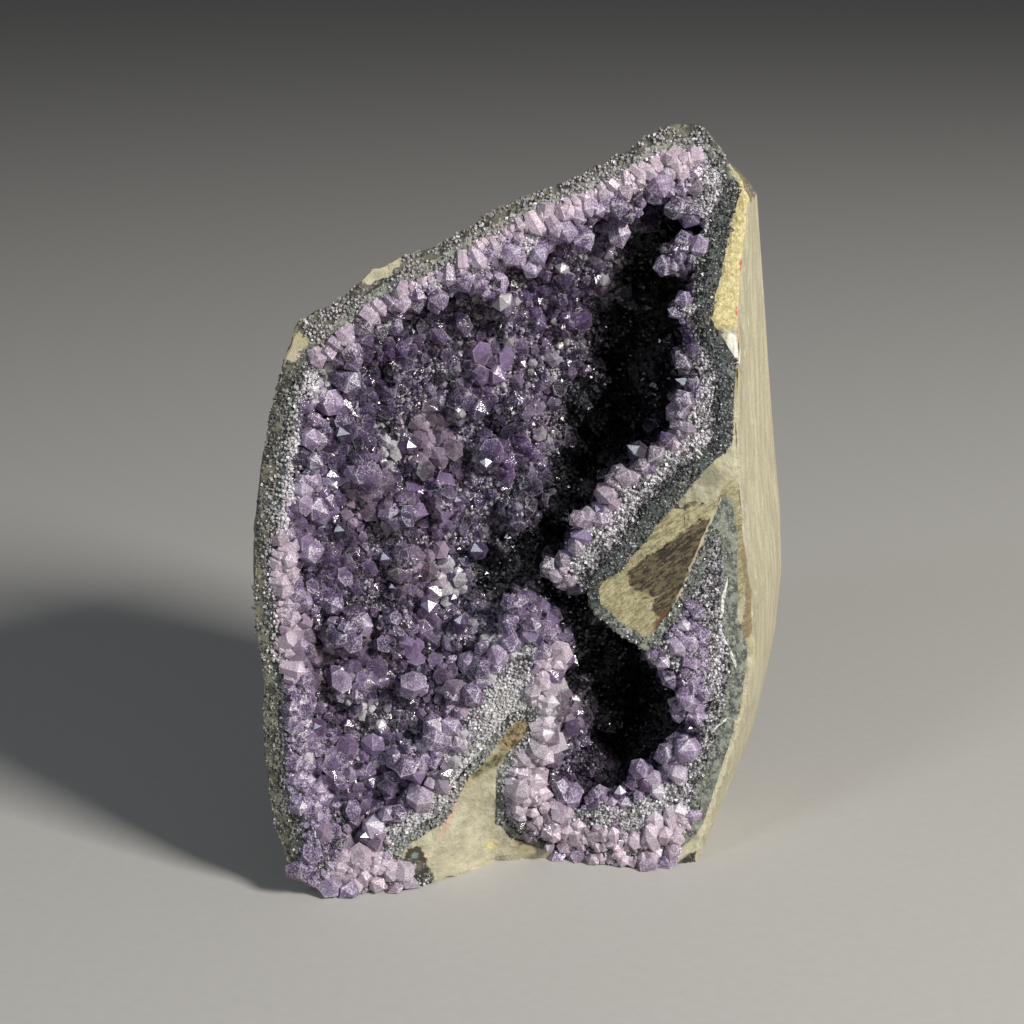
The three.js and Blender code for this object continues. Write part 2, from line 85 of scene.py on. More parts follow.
class Shader:
    """The node tree of one material, built from the Object coordinates up"""

    def __init__(self, name):
        self.material = bpy.data.materials.new(name)
        self.material.use_nodes = True
        self.tree = self.material.node_tree
        self.surface = self.tree.nodes["Principled BSDF"]
        self.place = self.node("TexCoord").outputs["Object"]

    def node(self, kind, inputs=None, **settings):
        new = self.tree.nodes.new("ShaderNode" + kind)
        for key, value in settings.items():
            setattr(new, key, value)
        for key, value in (inputs or {}).items():
            if isinstance(value, bpy.types.NodeSocket):
                self.tree.links.new(value, new.inputs[key])
            else:
                new.inputs[key].default_value = value
        return new

    def noise(self, size, detail, roughness=0.5, stretch=(1, 1, 1), turn=(0, 0, 0)):
        """Cloudy noise, with lumps of this size in millimetres, which may be stretched along turned axes"""
        inputs = {"Vector": self.place, "Rotation": turn, "Scale": stretch}
        mapped = self.node("Mapping", inputs, vector_type="TEXTURE")
        inputs = {"Vector": mapped.outputs[0], "Scale": 1000 / size, "Detail": detail, "Roughness": roughness}
        return self.node("TexNoise", inputs).outputs["Fac"]

    def cells(self, size):
        """How far it is to the middle of the nearest of many cells, each about this many millimetres wide"""
        inputs = {"Vector": self.place, "Scale": 1000 / size}
        return self.node("TexVoronoi", inputs).outputs["Distance"]

    def field(self, name):
        return self.node("Attribute", attribute_name=name).outputs["Fac"]

    def colours(self, name):
        return self.node("Attribute", attribute_name=name).outputs["Color"]

    def maths(self, operation, a, b):
        return self.node("Math", {0: a, 1: b}, operation=operation).outputs[0]

    def times(self, value, *others):
        for other in others:
            value = self.maths("MULTIPLY", value, other)
        return value

    def step(self, value, low, high):
        """0 below low, 1 above high, or the other way round where low is the greater"""
        inputs = {"Value": value, "From Min": low, "From Max": high}
        return self.node("MapRange", inputs, interpolation_type="SMOOTHSTEP").outputs[0]

    def tones(self, value, low, high, first, second):
        """The first colour where the value is below low and the second above high"""
        return self.mix(self.step(value, low, high), first, second)

    def ramp(self, value, low, high, to_low, to_high):
        inputs = {"Value": value, "From Min": low, "From Max": high, "To Min": to_low, "To Max": to_high}
        return self.node("MapRange", inputs).outputs[0]

    def mix(self, factor, a, b, blend="MIX"):
        """The second colour where the factor is 1. Each is a socket, or red, green and blue from 0 to 255"""
        a, b = [tone(*colour) if isinstance(colour, tuple) else colour for colour in (a, b)]
        new = self.node("Mix", {0: factor, 6: a, 7: b}, data_type="RGBA", blend_type=blend)
        return new.outputs[2]

    def near(self, name, width, wobble, edge=0.25):
        """1 where the field is under the width, with an uneven border. All in millimetres"""
        uneven = self.maths("MULTIPLY_ADD", self.noise(WOBBLE_SIZE, 4, 0.65), 2 * wobble)
        uneven.node.inputs[2].default_value = -wobble
        return self.step(self.maths("ADD", self.field(name), uneven), width + edge, width - edge)

    def patches(self, under, *layers):
        """Patches on top of each other: each has its field, width, wobble, softness of edge and colour"""
        for name, width, wobble, edge, colour in layers:
            under = self.mix(self.near(name, width, wobble, edge), under, colour)
        return under

    def bump(self, *layers):
        """Heights on top of each other: each layer is a height from 0 to 1 and its depth in millimetres"""
        normal = None
        for height, depth in layers:
            inputs = {"Height": height, "Distance": depth / 1000, "Strength": 1.0}
            if normal:
                inputs["Normal"] = normal
            normal = self.node("Bump", inputs).outputs[0]
        self.tree.links.new(normal, self.surface.inputs["Normal"])

    def finish(self, **sockets):
        for key, value in sockets.items():
            socket = self.surface.inputs[key.replace("_", " ")]
            if isinstance(value, bpy.types.NodeSocket):
                self.tree.links.new(value, socket)
            else:
                socket.default_value = value
        return self.material


forward = Vector((0, math.cos(CAMERA_DOWN), -math.sin(CAMERA_DOWN)))
bpy.ops.object.camera_add(location=LOOK_AT - forward * CAMERA_DISTANCE)
camera = bpy.context.object
camera.rotation_euler = (math.pi / 2 - CAMERA_DOWN, 0, 0)
camera.data.lens = CAMERA_LENS
camera.data.sensor_width = CAMERA_SENSOR
camera.data.clip_start = 0.01
bpy.context.scene.camera = camera

add_lamp("key_lamp", KEY_FROM, KEY_DISTANCE, KEY_SIZE, KEY_POWER, KEY_COLOUR)
add_lamp("fill_lamp", FILL_FROM, FILL_DISTANCE, FILL_SIZE, FILL_POWER, FILL_COLOUR)
world = bpy.data.worlds.new("studio")
world.use_nodes = True
world.node_tree.nodes["Background"].inputs["Color"].default_value = ROOM_COLOUR
world.node_tree.nodes["Background"].inputs["Strength"].default_value = ROOM_LIGHT
bpy.context.scene.world = world
bpy.context.scene.view_settings.view_transform = "Standard"

bpy.ops.object.select_all(action="DESELECT")
bpy.ops.mesh.primitive_plane_add(size=FLOOR_SIZE, location=(0, 0, 0))
floor = bpy.context.object
floor.name = "floor"
paper = Shader("floor_paper")
grain = paper.noise(3.0, 3)
shade = paper.mix(grain, (176, 174, 170), (184, 182, 178))
floor.data.materials.append(paper.finish(Base_Color=shade, Roughness=0.75))


# The basalt that the geode grew in: one lump, sawn flat below and ground smooth on its right flank, with
# a natural knobbly outside and a fresh break at the front. Weathered grey, ochre and olive stone
ROCK_VOXEL = 1.35
FACE_FRONT = -46.86  # Y of the broken face at X = FACE_FRONT_X on the ground
FACE_FRONT_X = -45.82
FACE_TURN = 0.194
FACE_LEAN = 0.121
NOTCH = {"x": 1.2, "half_width": 17, "half_height": 24, "depth": 14}  # the foot is broken further back
FACE_REACH = 1.6  # what lies this close to the plane of the break belongs to it
FOOT = {"height": (20, 50), "half_width": 34, "reach": 6}  # and at the foot this much more behind it
KEEP_FLAT = 0.8  # from half to three times this height above the base the lumps come in softly
ROCK_LOWEST = 0.2  # what a lump moves stays this far above the ground
THIN_WALL = 2.6  # at the back the lumps leave at least this much rock outside the rind

# Features of the break, as X and Z of points along them
SPUR_MIDDLE = (36, 84)
SPUR_REACH = 25  # rock this close to its middle is the spur
SPUR_CORE = [(27.3, 78.8), (31, 81.8), (35.2, 84.4), (40, 87), (44.6, 90.4), (49.4, 91.6), (47.6, 85),
             (45, 76.6), (43.4, 70.8), (40.7, 68.3), (36.4, 66.6), (34.6, 69.5), (35.4, 72.6), (31.6, 74.8),
             (28.6, 75.8)]
SPUR_UPPER = [(38, 95), (40.7, 100.5), (45, 106.6), (50.7, 107.2), (51.3, 101.5), (49.4, 95.2), (43.9, 96.2)]
SPUR_CRACKS = [[(25.8, 71.4), (26.1, 74.1), (28.6, 74.9), (31.8, 74.4)],
               [(25.8, 71.4), (29.5, 72.6), (33.2, 71.8)], [(38, 96), (43.9, 96.4), (49.4, 95.2)],
               [(41.5, 100.2), (46, 99.6), (51, 100.2)], [(40.9, 95.6), (41.3, 92.4), (40.4, 88.4)],
               [(43.3, 95.6), (43.6, 92.9), (43.1, 90)], [(37.6, 95), (45.3, 94.9), (48.7, 92.7)],
               [(51.4, 101), (49.6, 94), (47.3, 86.3)]]
RUST = [(38, 67.6), (36.4, 66.4), (35.2, 64.6)]
YELLOW_PATCH = [(47, 140), (47.5, 147), (50, 153), (49.3, 158), (51.5, 165), (54, 177), (56.5, 172),
                (56, 163), (54.2, 158), (55, 150), (53.4, 140)]
WHITE_PATCH = [(52.6, 137.6), (53.6, 132)]
RED_VEINS = [[(54.2, 157), (54.6, 153), (53.8, 149)], [(52.6, 146.5), (53.8, 143), (54.4, 137)]]
EDGE_CRACK = [(55.8, 158), (54.9, 146.7), (54.4, 138.3), (54.1, 127.1), (54.2, 114.2), (54.9, 106.4),
              (55.6, 96.1), (57.2, 90), (58.8, 80), (60, 70)]
CHIPS = [(57.6, 84), (58.8, 76), (59.6, 70), (58.2, 62), (55.2, 60)]
BROWN_PATCH = [(-6.7, 34.5), (-4.6, 41.4), (-0.8, 44.5), (1.8, 43.7), (1.1, 38.1), (-2, 34), (-4.6, 33.6)]
OLIVE_NECK = [(-5.5, 33), (-8.5, 30.5), (-12.5, 28.5)]
PINK_LINE = [(-16.4, 25.5), (-17.6, 20.4), (-19.2, 15.9), (-21.6, 12)]
PIT = [(-27.8, 8.5), (-27.6, 3.5)]
YELLOW_SPOT = (-8.6, 5.6)
# Where little of the basalt is left beside the hollow: the left edge with the foot, the top, and the lower
# right. Each has its width, and X and Z of points along it
THIN_RIMS = [(8, [(-53, 141), (-58.6, 127), (-62, 110), (-63.4, 95), (-64, 78), (-63.5, 60), (-62.6, 45),
                  (-61.6, 27), (-56, 12), (-48, 3), (-38, 0), (-31, 0)]),
             (8, [(-53, 141), (-46, 150), (-33, 158), (-20, 165), (-5, 172), (9, 179), (22, 184), (36, 189),
                  (46, 187)]),
             (2.5, [(12, 1), (22, 0), (34, 0), (44, 2)])]
BEIGE_EDGES = [[(-37, 157), (-32, 160)], [(-56, 139), (-54.5, 141)], [(40, 3), (46, 6)]]
# How far these lie below the break, or for the yellow patch stand out of it
CORE_DEPTH = 1.1
YELLOW_RISE = 0.5
CHIP_DEPTH = 1.6
PIT_DEPTH = 1.8
CRACK_DEPTH = 0.5
CRACK_WIDTH = 0.7
# Height and width of each size of lump on the natural outside
OUTSIDE_LUMPS = [(1.0, 9), (0.55, 4.2), (0.3, 2.1)]
GROUND_FROM = (30, 42)  # the X where the ground flank begins
GROUND_TOP = 171
GRIND_MARKS = 0.05  # the depth of the marks on it
FIBRE_TURN = math.radians(-33)  # the dark core of the spur has fibres that rise to the right

rng = np.random.default_rng(7)


def lattice(i, j, k):
    """For each whole place in space a number from -1 to 1 that looks random and is always the same"""
    mixed = np.sin(i * 127.1 + j * 311.7 + k * 74.7) * 43758.5453
    return 2 * (mixed - np.floor(mixed)) - 1


def lumps(points, size):
    """Smooth lumps from -1 to 1, each about as wide as the size"""
    scaled = points / size
    low = np.floor(scaled)
    part = scaled - low
    part = part * part * (3 - 2 * part)
    total = np.zeros(len(points))
    for a in (0, 1):
        for b in (0, 1):
            for c in (0, 1):
                weight = (abs(1 - a - part[:, 0]) * abs(1 - b - part[:, 1]) * abs(1 - c - part[:, 2]))
                total += weight * lattice(low[:, 0] + a, low[:, 1] + b, low[:, 2] + c)
    return total


def smooth_step(values, low, high):
    """0 below low, 1 above high, and a soft change between them"""
    t = np.clip((values - low) / (high - low), 0, 1)
    return t * t * (3 - 2 * t)


def within(distances, near, far):
    """1 up to the near distance, 0 past the far one, and a soft change between them"""
    return smooth_step(-distances, -far, -near)


def bell(distances, width):
    """1 at a distance of 0, about a third at the width, and next to nothing at twice the width"""
    return np.exp(-(distances / width) ** 2)


def behind_face(points):
    """How far behind the plane of the break each point lies"""
    x, y, z = points.T
    from_notch = ((x - NOTCH["x"]) / NOTCH["half_width"]) ** 2 + (z / NOTCH["half_height"]) ** 2
    notch = NOTCH["depth"] * np.exp(-from_notch)
    return y - (FACE_FRONT + FACE_TURN * (x - FACE_FRONT_X) + FACE_LEAN * z + notch)


def from_path(points, path):
    """Distance in X and Z from each point to a line of several stretches"""
    flat = points[:, [0, 2]]
    nearest = np.full(len(flat), 1e3)
    for start, end in zip(path, path[1:]):
        start, along = np.array(start), np.array(end) - start
        t = np.clip((flat - start) @ along / (along @ along), 0, 1)
        nearest = np.minimum(nearest, np.linalg.norm(flat - start - t[:, None] * along, axis=1))
    return nearest


def from_paths(points, paths):
    """Distance to the nearest of several lines"""
    return np.min([from_path(points, path) for path in paths], axis=0)


def from_patch(points, outline):
    """Distance in X and Z to the border of a patch, negative inside it"""
    closed = outline + outline[:1]
    x, z = points[:, 0], points[:, 2]
    inside = np.zeros(len(points), bool)
    for (ax, az), (bx, bz) in zip(closed, closed[1:]):
        crosses = (az > z) != (bz > z)
        inside ^= crosses & (x < (bx - ax) * (z - az) / ((bz - az) or 1) + ax)
    return np.where(inside, -1, 1) * from_path(points, closed)


def from_spot(points, spot):
    """Distance in X and Z to one spot"""
    return np.hypot(points[:, 0] - spot[0], points[:, 2] - spot[1])


def select_only(piece):
    bpy.ops.object.select_all(action="DESELECT")
    piece.select_set(True)
    bpy.context.view_layer.objects.active = piece


def modify(piece, kind, **settings):
    select_only(piece)
    modifier = piece.modifiers.new(kind.lower(), kind)
    for key, value in settings.items():
        setattr(modifier, key, value)
    bpy.ops.object.modifier_apply(modifier=modifier.name)


def welded_copy(node, name):
    """A new object with the form of a node of the frame, its loose triangles joined"""
    piece = bpy.data.objects.new(name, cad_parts[node].data.copy())
    bpy.context.collection.objects.link(piece)
    piece.data.materials.clear()
    select_only(piece)
    bpy.ops.object.mode_set(mode="EDIT")
    bpy.ops.mesh.select_all(action="SELECT")
    bpy.ops.mesh.remove_doubles(threshold=1e-6)
    bpy.ops.object.mode_set(mode="OBJECT")
    return piece


def points_of(piece):
    values = np.empty(len(piece.data.vertices) * 3)
    piece.data.vertices.foreach_get("co", values)
    return values.reshape(-1, 3) * 1000


def normals_of(piece):
    values = np.empty(len(piece.data.vertices) * 3)
    piece.data.vertices.foreach_get("normal", values)
    return values.reshape(-1, 3)


def move_points(piece, points):
    piece.data.vertices.foreach_set("co", (points / 1000).ravel())
    piece.data.update()


def past_rims(points):
    """How far each point is outside the thin rims of rock"""
    return np.min([from_path(points, rim) - width for width, rim in THIN_RIMS], axis=0)


def fill_grooves(points, depth):
    """Brings the rounded rim of a piece forward to the plane of the break, so that no groove is left there"""
    pull = np.clip(depth, 0, None) * within(depth, 2.2, 3.6)
    return points - np.column_stack([np.zeros(len(points)), pull, np.zeros(len(points))])


def paint(piece, **fields):
    """Stores one number of each kind with every point of a piece, for its material to read"""
    for name, values in fields.items():
        piece.data.attributes.new(name, "FLOAT", "POINT").data.foreach_set("value", values)


def tree_of(node):
    """The surface of a node of the frame, for finding distances to it"""
    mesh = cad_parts[node].data
    return bvhtree.BVHTree.FromPolygons([vertex.co for vertex in mesh.vertices],
                                        [face.vertices[:] for face in mesh.polygons])


rind_tree = tree_of("chalcedony_rind")


def nearest_on(tree, points):
    """The way from each point to the nearest place on a surface, and how long it is"""
    hits = [tree.find_nearest(Vector(point) / 1000) for point in points]
    return np.array([hit[0][:] for hit in hits]) * 1000 - points, np.array([hit[3] for hit in hits]) * 1000


def beside_rind(points, normals):
    """How far each point is from the rind, whether it is on the inner side of the rock, and 1 where it is on
    the outer side at the back"""
    to_rind, away = nearest_on(rind_tree, points)
    towards = (to_rind * normals).sum(axis=1)
    depth = behind_face(points)
    inner = (depth > 3) * (away < 1.5) * (towards > -0.3 * away)
    outer = (towards < -0.5 * away) * smooth_step(depth, 3, 7)
    return away, inner, outer


basalt = welded_copy("basalt_matrix", "basalt")
# The thin wall at the back is made thicker before the remesh, which would leave a hole in it
modify(basalt, "SUBSURF", subdivision_type="SIMPLE", levels=2, render_levels=2)
points, normals = points_of(basalt), normals_of(basalt)
from_rind, inner, outer = beside_rind(points, normals)
moved = points + normals * (outer * np.clip(THIN_WALL - from_rind, 0, None))[:, None]
moved[:, 2] = np.maximum(moved[:, 2], 0)
move_points(basalt, moved)
modify(basalt, "REMESH", mode="VOXEL", voxel_size=ROCK_VOXEL / 1000)

points, normals = points_of(basalt), normals_of(basalt)
x, _, z = points.T
depth = behind_face(points)
reach = FACE_REACH + FOOT["reach"] * within(z, *FOOT["height"]) * (np.abs(x) < FOOT["half_width"])
on_break = smooth_step(-normals[:, 1], 0.2, 0.5) * bell(depth, reach)
ground = smooth_step(normals[:, 0], 0.45, 0.7) * smooth_step(x, *GROUND_FROM) * (z < GROUND_TOP)
core = from_patch(points, SPUR_CORE)
patch = from_patch(points, YELLOW_PATCH)
natural = np.clip(1 - on_break - ground, 0, 1)
rise = natural * sum(height * lumps(points, width) for height, width in OUTSIDE_LUMPS)
rise += on_break * (0.35 * lumps(points, 6.5) + 0.28 * np.abs(lumps(points, 3.1)) + 0.2 * lumps(points, 1.7))
rise -= on_break * CORE_DEPTH * within(core, -1.5, 1.2)
rise += on_break * YELLOW_RISE * within(patch, -1.0, 0.5)
rise -= on_break * CHIP_DEPTH * within(from_path(points, CHIPS), 0.5, 3) * (0.6 + 0.4 * lumps(points, 2.5))
rise -= on_break * PIT_DEPTH * within(from_path(points, PIT), 0.8, 2.6)
rise += ground * GRIND_MARKS * lumps(points * (1, 1, 0.15), 1.6)
for crack in SPUR_CRACKS + [EDGE_CRACK]:
    rise -= on_break * CRACK_DEPTH * bell(from_path(points, crack), CRACK_WIDTH)
from_rind, inner, outer = beside_rind(points, normals)
rise = np.where(inner, 0, rise)
rise = np.maximum(rise, outer * (THIN_WALL - from_rind))
rise *= smooth_step(z, KEEP_FLAT * 0.5, 3 * KEEP_FLAT)
moved = fill_grooves(points, depth) + normals * rise[:, None]
moved[:, 2] = np.where(z < KEEP_FLAT * 0.5, z, np.maximum(moved[:, 2], ROCK_LOWEST))
move_points(basalt, moved)
paint(basalt, on_break=on_break, ground=ground, from_rind=from_rind, thin_rim=past_rims(points),
      cracks=from_paths(points, SPUR_CRACKS + [EDGE_CRACK]), spur_core=core,
      spur=from_spot(points, SPUR_MIDDLE), spur_upper=from_patch(points, SPUR_UPPER),
      rust=from_path(points, RUST), yellow_patch=patch, white_patch=from_path(points, WHITE_PATCH),
      red_veins=from_paths(points, RED_VEINS), chips=from_path(points, CHIPS),
      brown_patch=from_patch(points, BROWN_PATCH), olive_neck=from_path(points, OLIVE_NECK),
      pink_line=from_path(points, PINK_LINE), pit=from_path(points, PIT), pit_spot=from_spot(points, PIT[0]),
      yellow_spot=from_spot(points, YELLOW_SPOT), beige_edges=from_paths(points, BEIGE_EDGES))

stone = Shader("weathered_basalt")
clouds = stone.noise(16, 5, 0.6)
mottle = stone.noise(4.5, 5, 0.65)
grit = stone.noise(0.9, 3, 0.7)
fibres = stone.noise(0.9, 4, 0.75, stretch=(4.0, 1, 0.8), turn=(0, FIBRE_TURN, 0))
streaks = stone.noise(1.4, 3, 0.6, stretch=(1, 1, 22))
speckled = stone.step(stone.noise(1.3, 4, 0.75), 0.4, 0.6)
# The natural outside, with gas bubbles
outside = stone.tones(clouds, 0.38, 0.62, (92, 88, 76), (138, 128, 104))
outside = stone.tones(mottle, 0.52, 0.68, outside, (158, 146, 118))
outside = stone.tones(stone.noise(7, 4, 0.6), 0.60, 0.72, outside, (122, 98, 64))
bubbles = stone.maths("ADD", stone.cells(3.0), stone.times(stone.noise(6, 4, 0.7), 1.5))
outside = stone.tones(bubbles, 0.86, 0.76, outside, (56, 52, 43))
outside = stone.tones(grit, 0.54, 0.68, outside, (172, 162, 134))
# The spur
upper = stone.tones(mottle, 0.4, 0.62, (132, 130, 110), (172, 168, 146))
dark_core = stone.tones(fibres, 0.40, 0.60, (30, 26, 18), (98, 88, 64))
dark_core = stone.tones(grit, 0.64, 0.70, dark_core, (140, 128, 98))
spur = stone.tones(fibres, 0.35, 0.65, (118, 112, 82), (170, 164, 132))
spur = stone.patches(
    spur,
    ("spur_upper", 0, 1.0, 0.25, upper),
    ("spur_core", 0.9, 2.2, 0.35, dark_core),
    ("rust", 1.5, 1.0, 0.7, (92, 66, 38)),
    ("rust", 0.4, 0.5, 0.3, (30, 24, 16)))
# The whole break, with the marks on it
on_spur = stone.step(stone.field("spur"), SPUR_REACH + 1, SPUR_REACH - 1)
yellow = stone.tones(grit, 0.35, 0.65, (176, 164, 112), (216, 205, 160))
green_edge = stone.tones(mottle, 0.4, 0.62, (46, 48, 42), (104, 104, 92))
green_edge = stone.tones(grit, 0.56, 0.66, green_edge, (150, 149, 138))
bare = stone.maths("SUBTRACT", 1.0, stone.near("beige_edges", 2.5, 2))
broken = stone.tones(mottle, 0.35, 0.65, (164, 159, 136), (194, 189, 166))
broken = stone.tones(stone.noise(9, 3), 0.5, 0.7, broken, (170, 162, 128))
broken = stone.patches(
    stone.mix(on_spur, broken, spur),
    ("yellow_patch", 0, 0.7, 0.25, yellow),
    ("white_patch", 1.3, 0.8, 0.25, (222, 220, 212)),
    ("red_veins", 0.35, 0.5, 0.25, (186, 86, 70)),
    # The chips are a darker brown: partly the broken rock's own colour, partly painted shade in their hollows
    ("chips", 1.8, 1.5, 0.25, stone.mix(fibres, (84, 74, 54), (168, 152, 118))),
    ("brown_patch", -0.2, 2.0, 1.0, stone.mix(speckled, (78, 66, 42), (156, 140, 106))),
    ("olive_neck", 1.2, 2.0, 1.0, stone.mix(speckled, (58, 58, 40), (132, 126, 94))),
    ("pink_line", 0.8, 0.6, 0.4, (194, 168, 150)),
    ("pit", 2.6, 1.6, 0.3, stone.mix(mottle, (34, 38, 34), (84, 70, 46))),
    ("pit_spot", 1.0, 0.8, 0.4, (118, 140, 138)),
    ("yellow_spot", 1.3, 1.3, 1.2, (222, 208, 150)))
broken = stone.mix(stone.times(stone.near("thin_rim", 0, 1.5), bare), broken, green_edge)
broken = stone.patches(
    broken,
    ("from_rind", 0.35, 0.9, 0.4, green_edge),
    ("cracks", 0.22, 0.16, 0.12, (58, 46, 32)))
# The ground flank
flank = stone.tones(streaks, 0.38, 0.62, (158, 152, 130), (176, 171, 148))
flank = stone.tones(grit, 0.55, 0.75, flank, (146, 139, 116))
flank = stone.tones(stone.noise(0.7, 2, 0.6, stretch=(1, 1, 9)), 0.62, 0.7, flank, (192, 187, 166))
body = stone.tones(stone.field("on_break"), 0.25, 0.5, outside, broken)
body = stone.tones(stone.field("ground"), 0.35, 0.6, body, flank)
body = stone.mix(0.16, body, stone.mix(grit, (70, 66, 56), (235, 228, 205)), "OVERLAY")
smoother = stone.maths("SUBTRACT", 1.0, stone.times(stone.field("ground"), 0.85))
stone.bump((stone.times(smoother, mottle), 1.0), (fibres, 0.3), (grit, 0.16))
roughness = stone.ramp(mottle, 0.3, 0.7, 0.72, 0.92)
basalt.data.materials.append(stone.finish(Base_Color=body, Roughness=roughness))
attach(basalt, "root")
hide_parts("basalt_matrix")


# The rind of the hollow: chalcedony, a thin blackish green skin between the basalt and the quartz. Only
# its broken edge shows, as an uneven dark line around the crystals
RIND_VOXEL = 1.4
RIND_KEPT = 0.5  # the share of its faces that is kept
RIND_SWELL = 0.40  # closes the hairline gaps that the pieces keep between them
RIND_EDGE = 2.5  # how far behind the break its edge is swollen and rough
RIND_LOWEST = 0.3
# Where the rind is grey instead of blackish green, as X and Z of points along it
PALE_RINDS = [[(-31, 8), (-24, 16), (-16, 27), (-8, 34)], [(-4, 30), (-5, 14), (0, 6)],
              [(24, 66), (32, 60), (40, 69), (53, 100)],
              [(55, 92), (54, 80), (54, 66), (57, 56), (56, 40), (50, 20), (44, 8)],
              [(-53, 141), (-33, 156), (-5, 169), (22, 181), (38, 187), (48, 183)]]

rind = welded_copy("chalcedony_rind", "rind")
modify(rind, "REMESH", mode="VOXEL", voxel_size=RIND_VOXEL / 1000)
modify(rind, "DECIMATE", ratio=RIND_KEPT)
points, normals = points_of(rind), normals_of(rind)
rind_edge = bell(behind_face(points), RIND_EDGE)
rise = RIND_SWELL + rind_edge * (0.3 + 0.3 * lumps(points, 3.5) + 0.2 * lumps(points, 1.5))
sideways = normals * np.column_stack([np.ones(len(normals)), 1 - 0.85 * rind_edge, np.ones(len(normals))])
moved = fill_grooves(points, behind_face(points)) + sideways * rise[:, None]
moved[:, 2] = np.maximum(moved[:, 2], RIND_LOWEST)
move_points(rind, moved)
paint(rind, pale_rind=from_paths(points, PALE_RINDS))

skin = Shader("dark_chalcedony")
bands = skin.noise(2.4, 5, 0.65)
specks = skin.noise(0.55, 2, 0.6)
shade = skin.tones(bands, 0.36, 0.64, (22, 28, 27), (58, 68, 64))
greyer = skin.tones(bands, 0.40, 0.60, (72, 78, 72), (132, 136, 124))
shade = skin.patches(shade, ("pale_rind", 7, 3, 2, greyer))
shade = skin.tones(skin.noise(5, 3), 0.58, 0.74, shade, (96, 101, 94))
shade = skin.tones(specks, 0.58, 0.68, shade, (160, 162, 156))
skin.bump((bands, 0.5), (specks, 0.12))
rind.data.materials.append(skin.finish(Base_Color=shade, Roughness=skin.ramp(bands, 0.3, 0.7, 0.32, 0.6)))
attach(rind, "root")
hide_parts("chalcedony_rind")


# The bed of the crystals: a crust of grown-together quartz on the rind, grey and sugary where the break
# cuts it, dark purple and glassy inside the hollow. Beside the thick rock it starts as dark chalcedony
BED_VOXEL = 1.3
BED_SMOOTHING = 4
NORMAL_SMOOTHING = 9
BED_LOWEST = 0.4
KNOB_TRIES = 3000
KNOB_SPACING = 10.0
KNOB_RISE = 1.3
KNOB_RADIUS = 3.6
BED_CLEAR = 1.1  # what is further than this from the rind is the open side of the bed
COVER_REACH = 4.0  # the other side looks straight at the rind, no further off than this
RIM_REACH = 9.0  # how far from these edges the dark border of the crust is seen

# Edges where a border of dark chalcedony is broken open: its width, and X and Z of points along it
DARK_BORDERS = [(2.6, [(52.5, 171), (48, 160), (46, 142), (51, 132), (52, 110), (48, 104)]),
                (3.6, [(44, 99), (37, 92), (26, 80), (20, 74)])]
# Beside the lower right of the hollow the outermost strip of the crust is smooth and grey
SMOOTH_EDGE = [(53.6, 100), (55.5, 88), (55, 78), (54.5, 68), (57, 56), (56, 37), (50, 21), (44, 8)]
SMOOTH_WIDTH = 2.3
# Frost around the foot of the wall, on both sides of the bare rock there
FROSTED_EDGES = [[(-27, 6), (-22, 14), (-19, 22), (-13, 29), (-8, 34), (-5, 42), (-1, 45)],
                 [(3, 44), (2, 38), (-1, 33), (-5, 27), (-5, 14), (-1, 6)]]
FROST_REACH = (4.5, 10.0)
WHITE_LINES = [[(51.4, 101), (49.4, 93.9), (46.9, 86.3), (44.2, 78.7), (43.5, 74.8), (40.5, 70.7),
                (39.2, 67.9)],
               [(53.2, 100.8), (54, 90.9), (53.9, 84.5), (53.1, 78.1), (51.9, 72.9), (51.5, 66.4),
                (50.5, 63.8), (51.6, 61.1), (54, 56.4), (55.6, 50.9), (55.6, 46.1), (55, 40.7)]]
# The deepest part of the hollow, where the crystals and their bed are painted nearly black as shade: X, Z and
# radius
PAINTED_SHADE_SPOTS = [(37, 152, 15), (33, 132, 18), (26, 112, 18), (18, 96, 13), (10, 82, 10), (14, 70, 11),
               (18, 60, 11), (15, 50, 7), (26, 46, 14), (32, 36, 14), (29, 28, 11), (2, 78, 9), (-5, 77, 9)]


def softened(vectors, edges, rounds):
    """Directions, each averaged with those of its neighbours again and again"""
    a, b = edges.T
    count = len(vectors)
    for _ in range(rounds):
        total = vectors.copy()
        for axis in range(3):
            part = vectors[:, axis]
            total[:, axis] += np.bincount(a, part[b], count) + np.bincount(b, part[a], count)
        vectors = total / np.linalg.norm(total, axis=1, keepdims=True)
    return vectors


def softened_values(values, edges, rounds):
    """Numbers, each averaged with those of its neighbours again and again"""
    a, b = edges.T
    count = len(values)
    shares = 1 + np.bincount(a, minlength=count) + np.bincount(b, minlength=count)
    for _ in range(rounds):
        values = (values + np.bincount(a, values[b], count) + np.bincount(b, values[a], count)) / shares
    return values


def tree_over(places):
    """The places sorted in space, for finding those near a point"""
    tree = kdtree.KDTree(len(places))
    for i, place in enumerate(places):
        tree.insert(place, i)
    tree.balance()
    return tree


def spread(places, spacing):
    """The numbers of the places that are kept so that each has its own room around it"""
    tree = tree_over(places)
    free = np.ones(len(places), bool)
    kept = []
    for i, place in enumerate(places):
        if free[i]:
            kept.append(i)
            for _, j, _ in tree.find_range(place, spacing[i]):
                free[j] = False
    return np.array(kept)


def painted_shade_at(places):
    """How much painted shade a place has: 1 in the deepest part of the hollow, 0 on its lit wall"""
    into = [1.15 - from_spot(places, (x, z)) / radius for x, z, radius in PAINTED_SHADE_SPOTS]
    return smooth_step(np.max(into, axis=0), 0, 0.45) * smooth_step(behind_face(places), 5.5, 12)


def frost(places):
    """1 beside the bare rock of the foot"""
    away = from_paths(places, FROSTED_EDGES) + 1.5 * lumps(places, 5)
    return within(away, *FROST_REACH) * (1 - painted_shade_at(places))


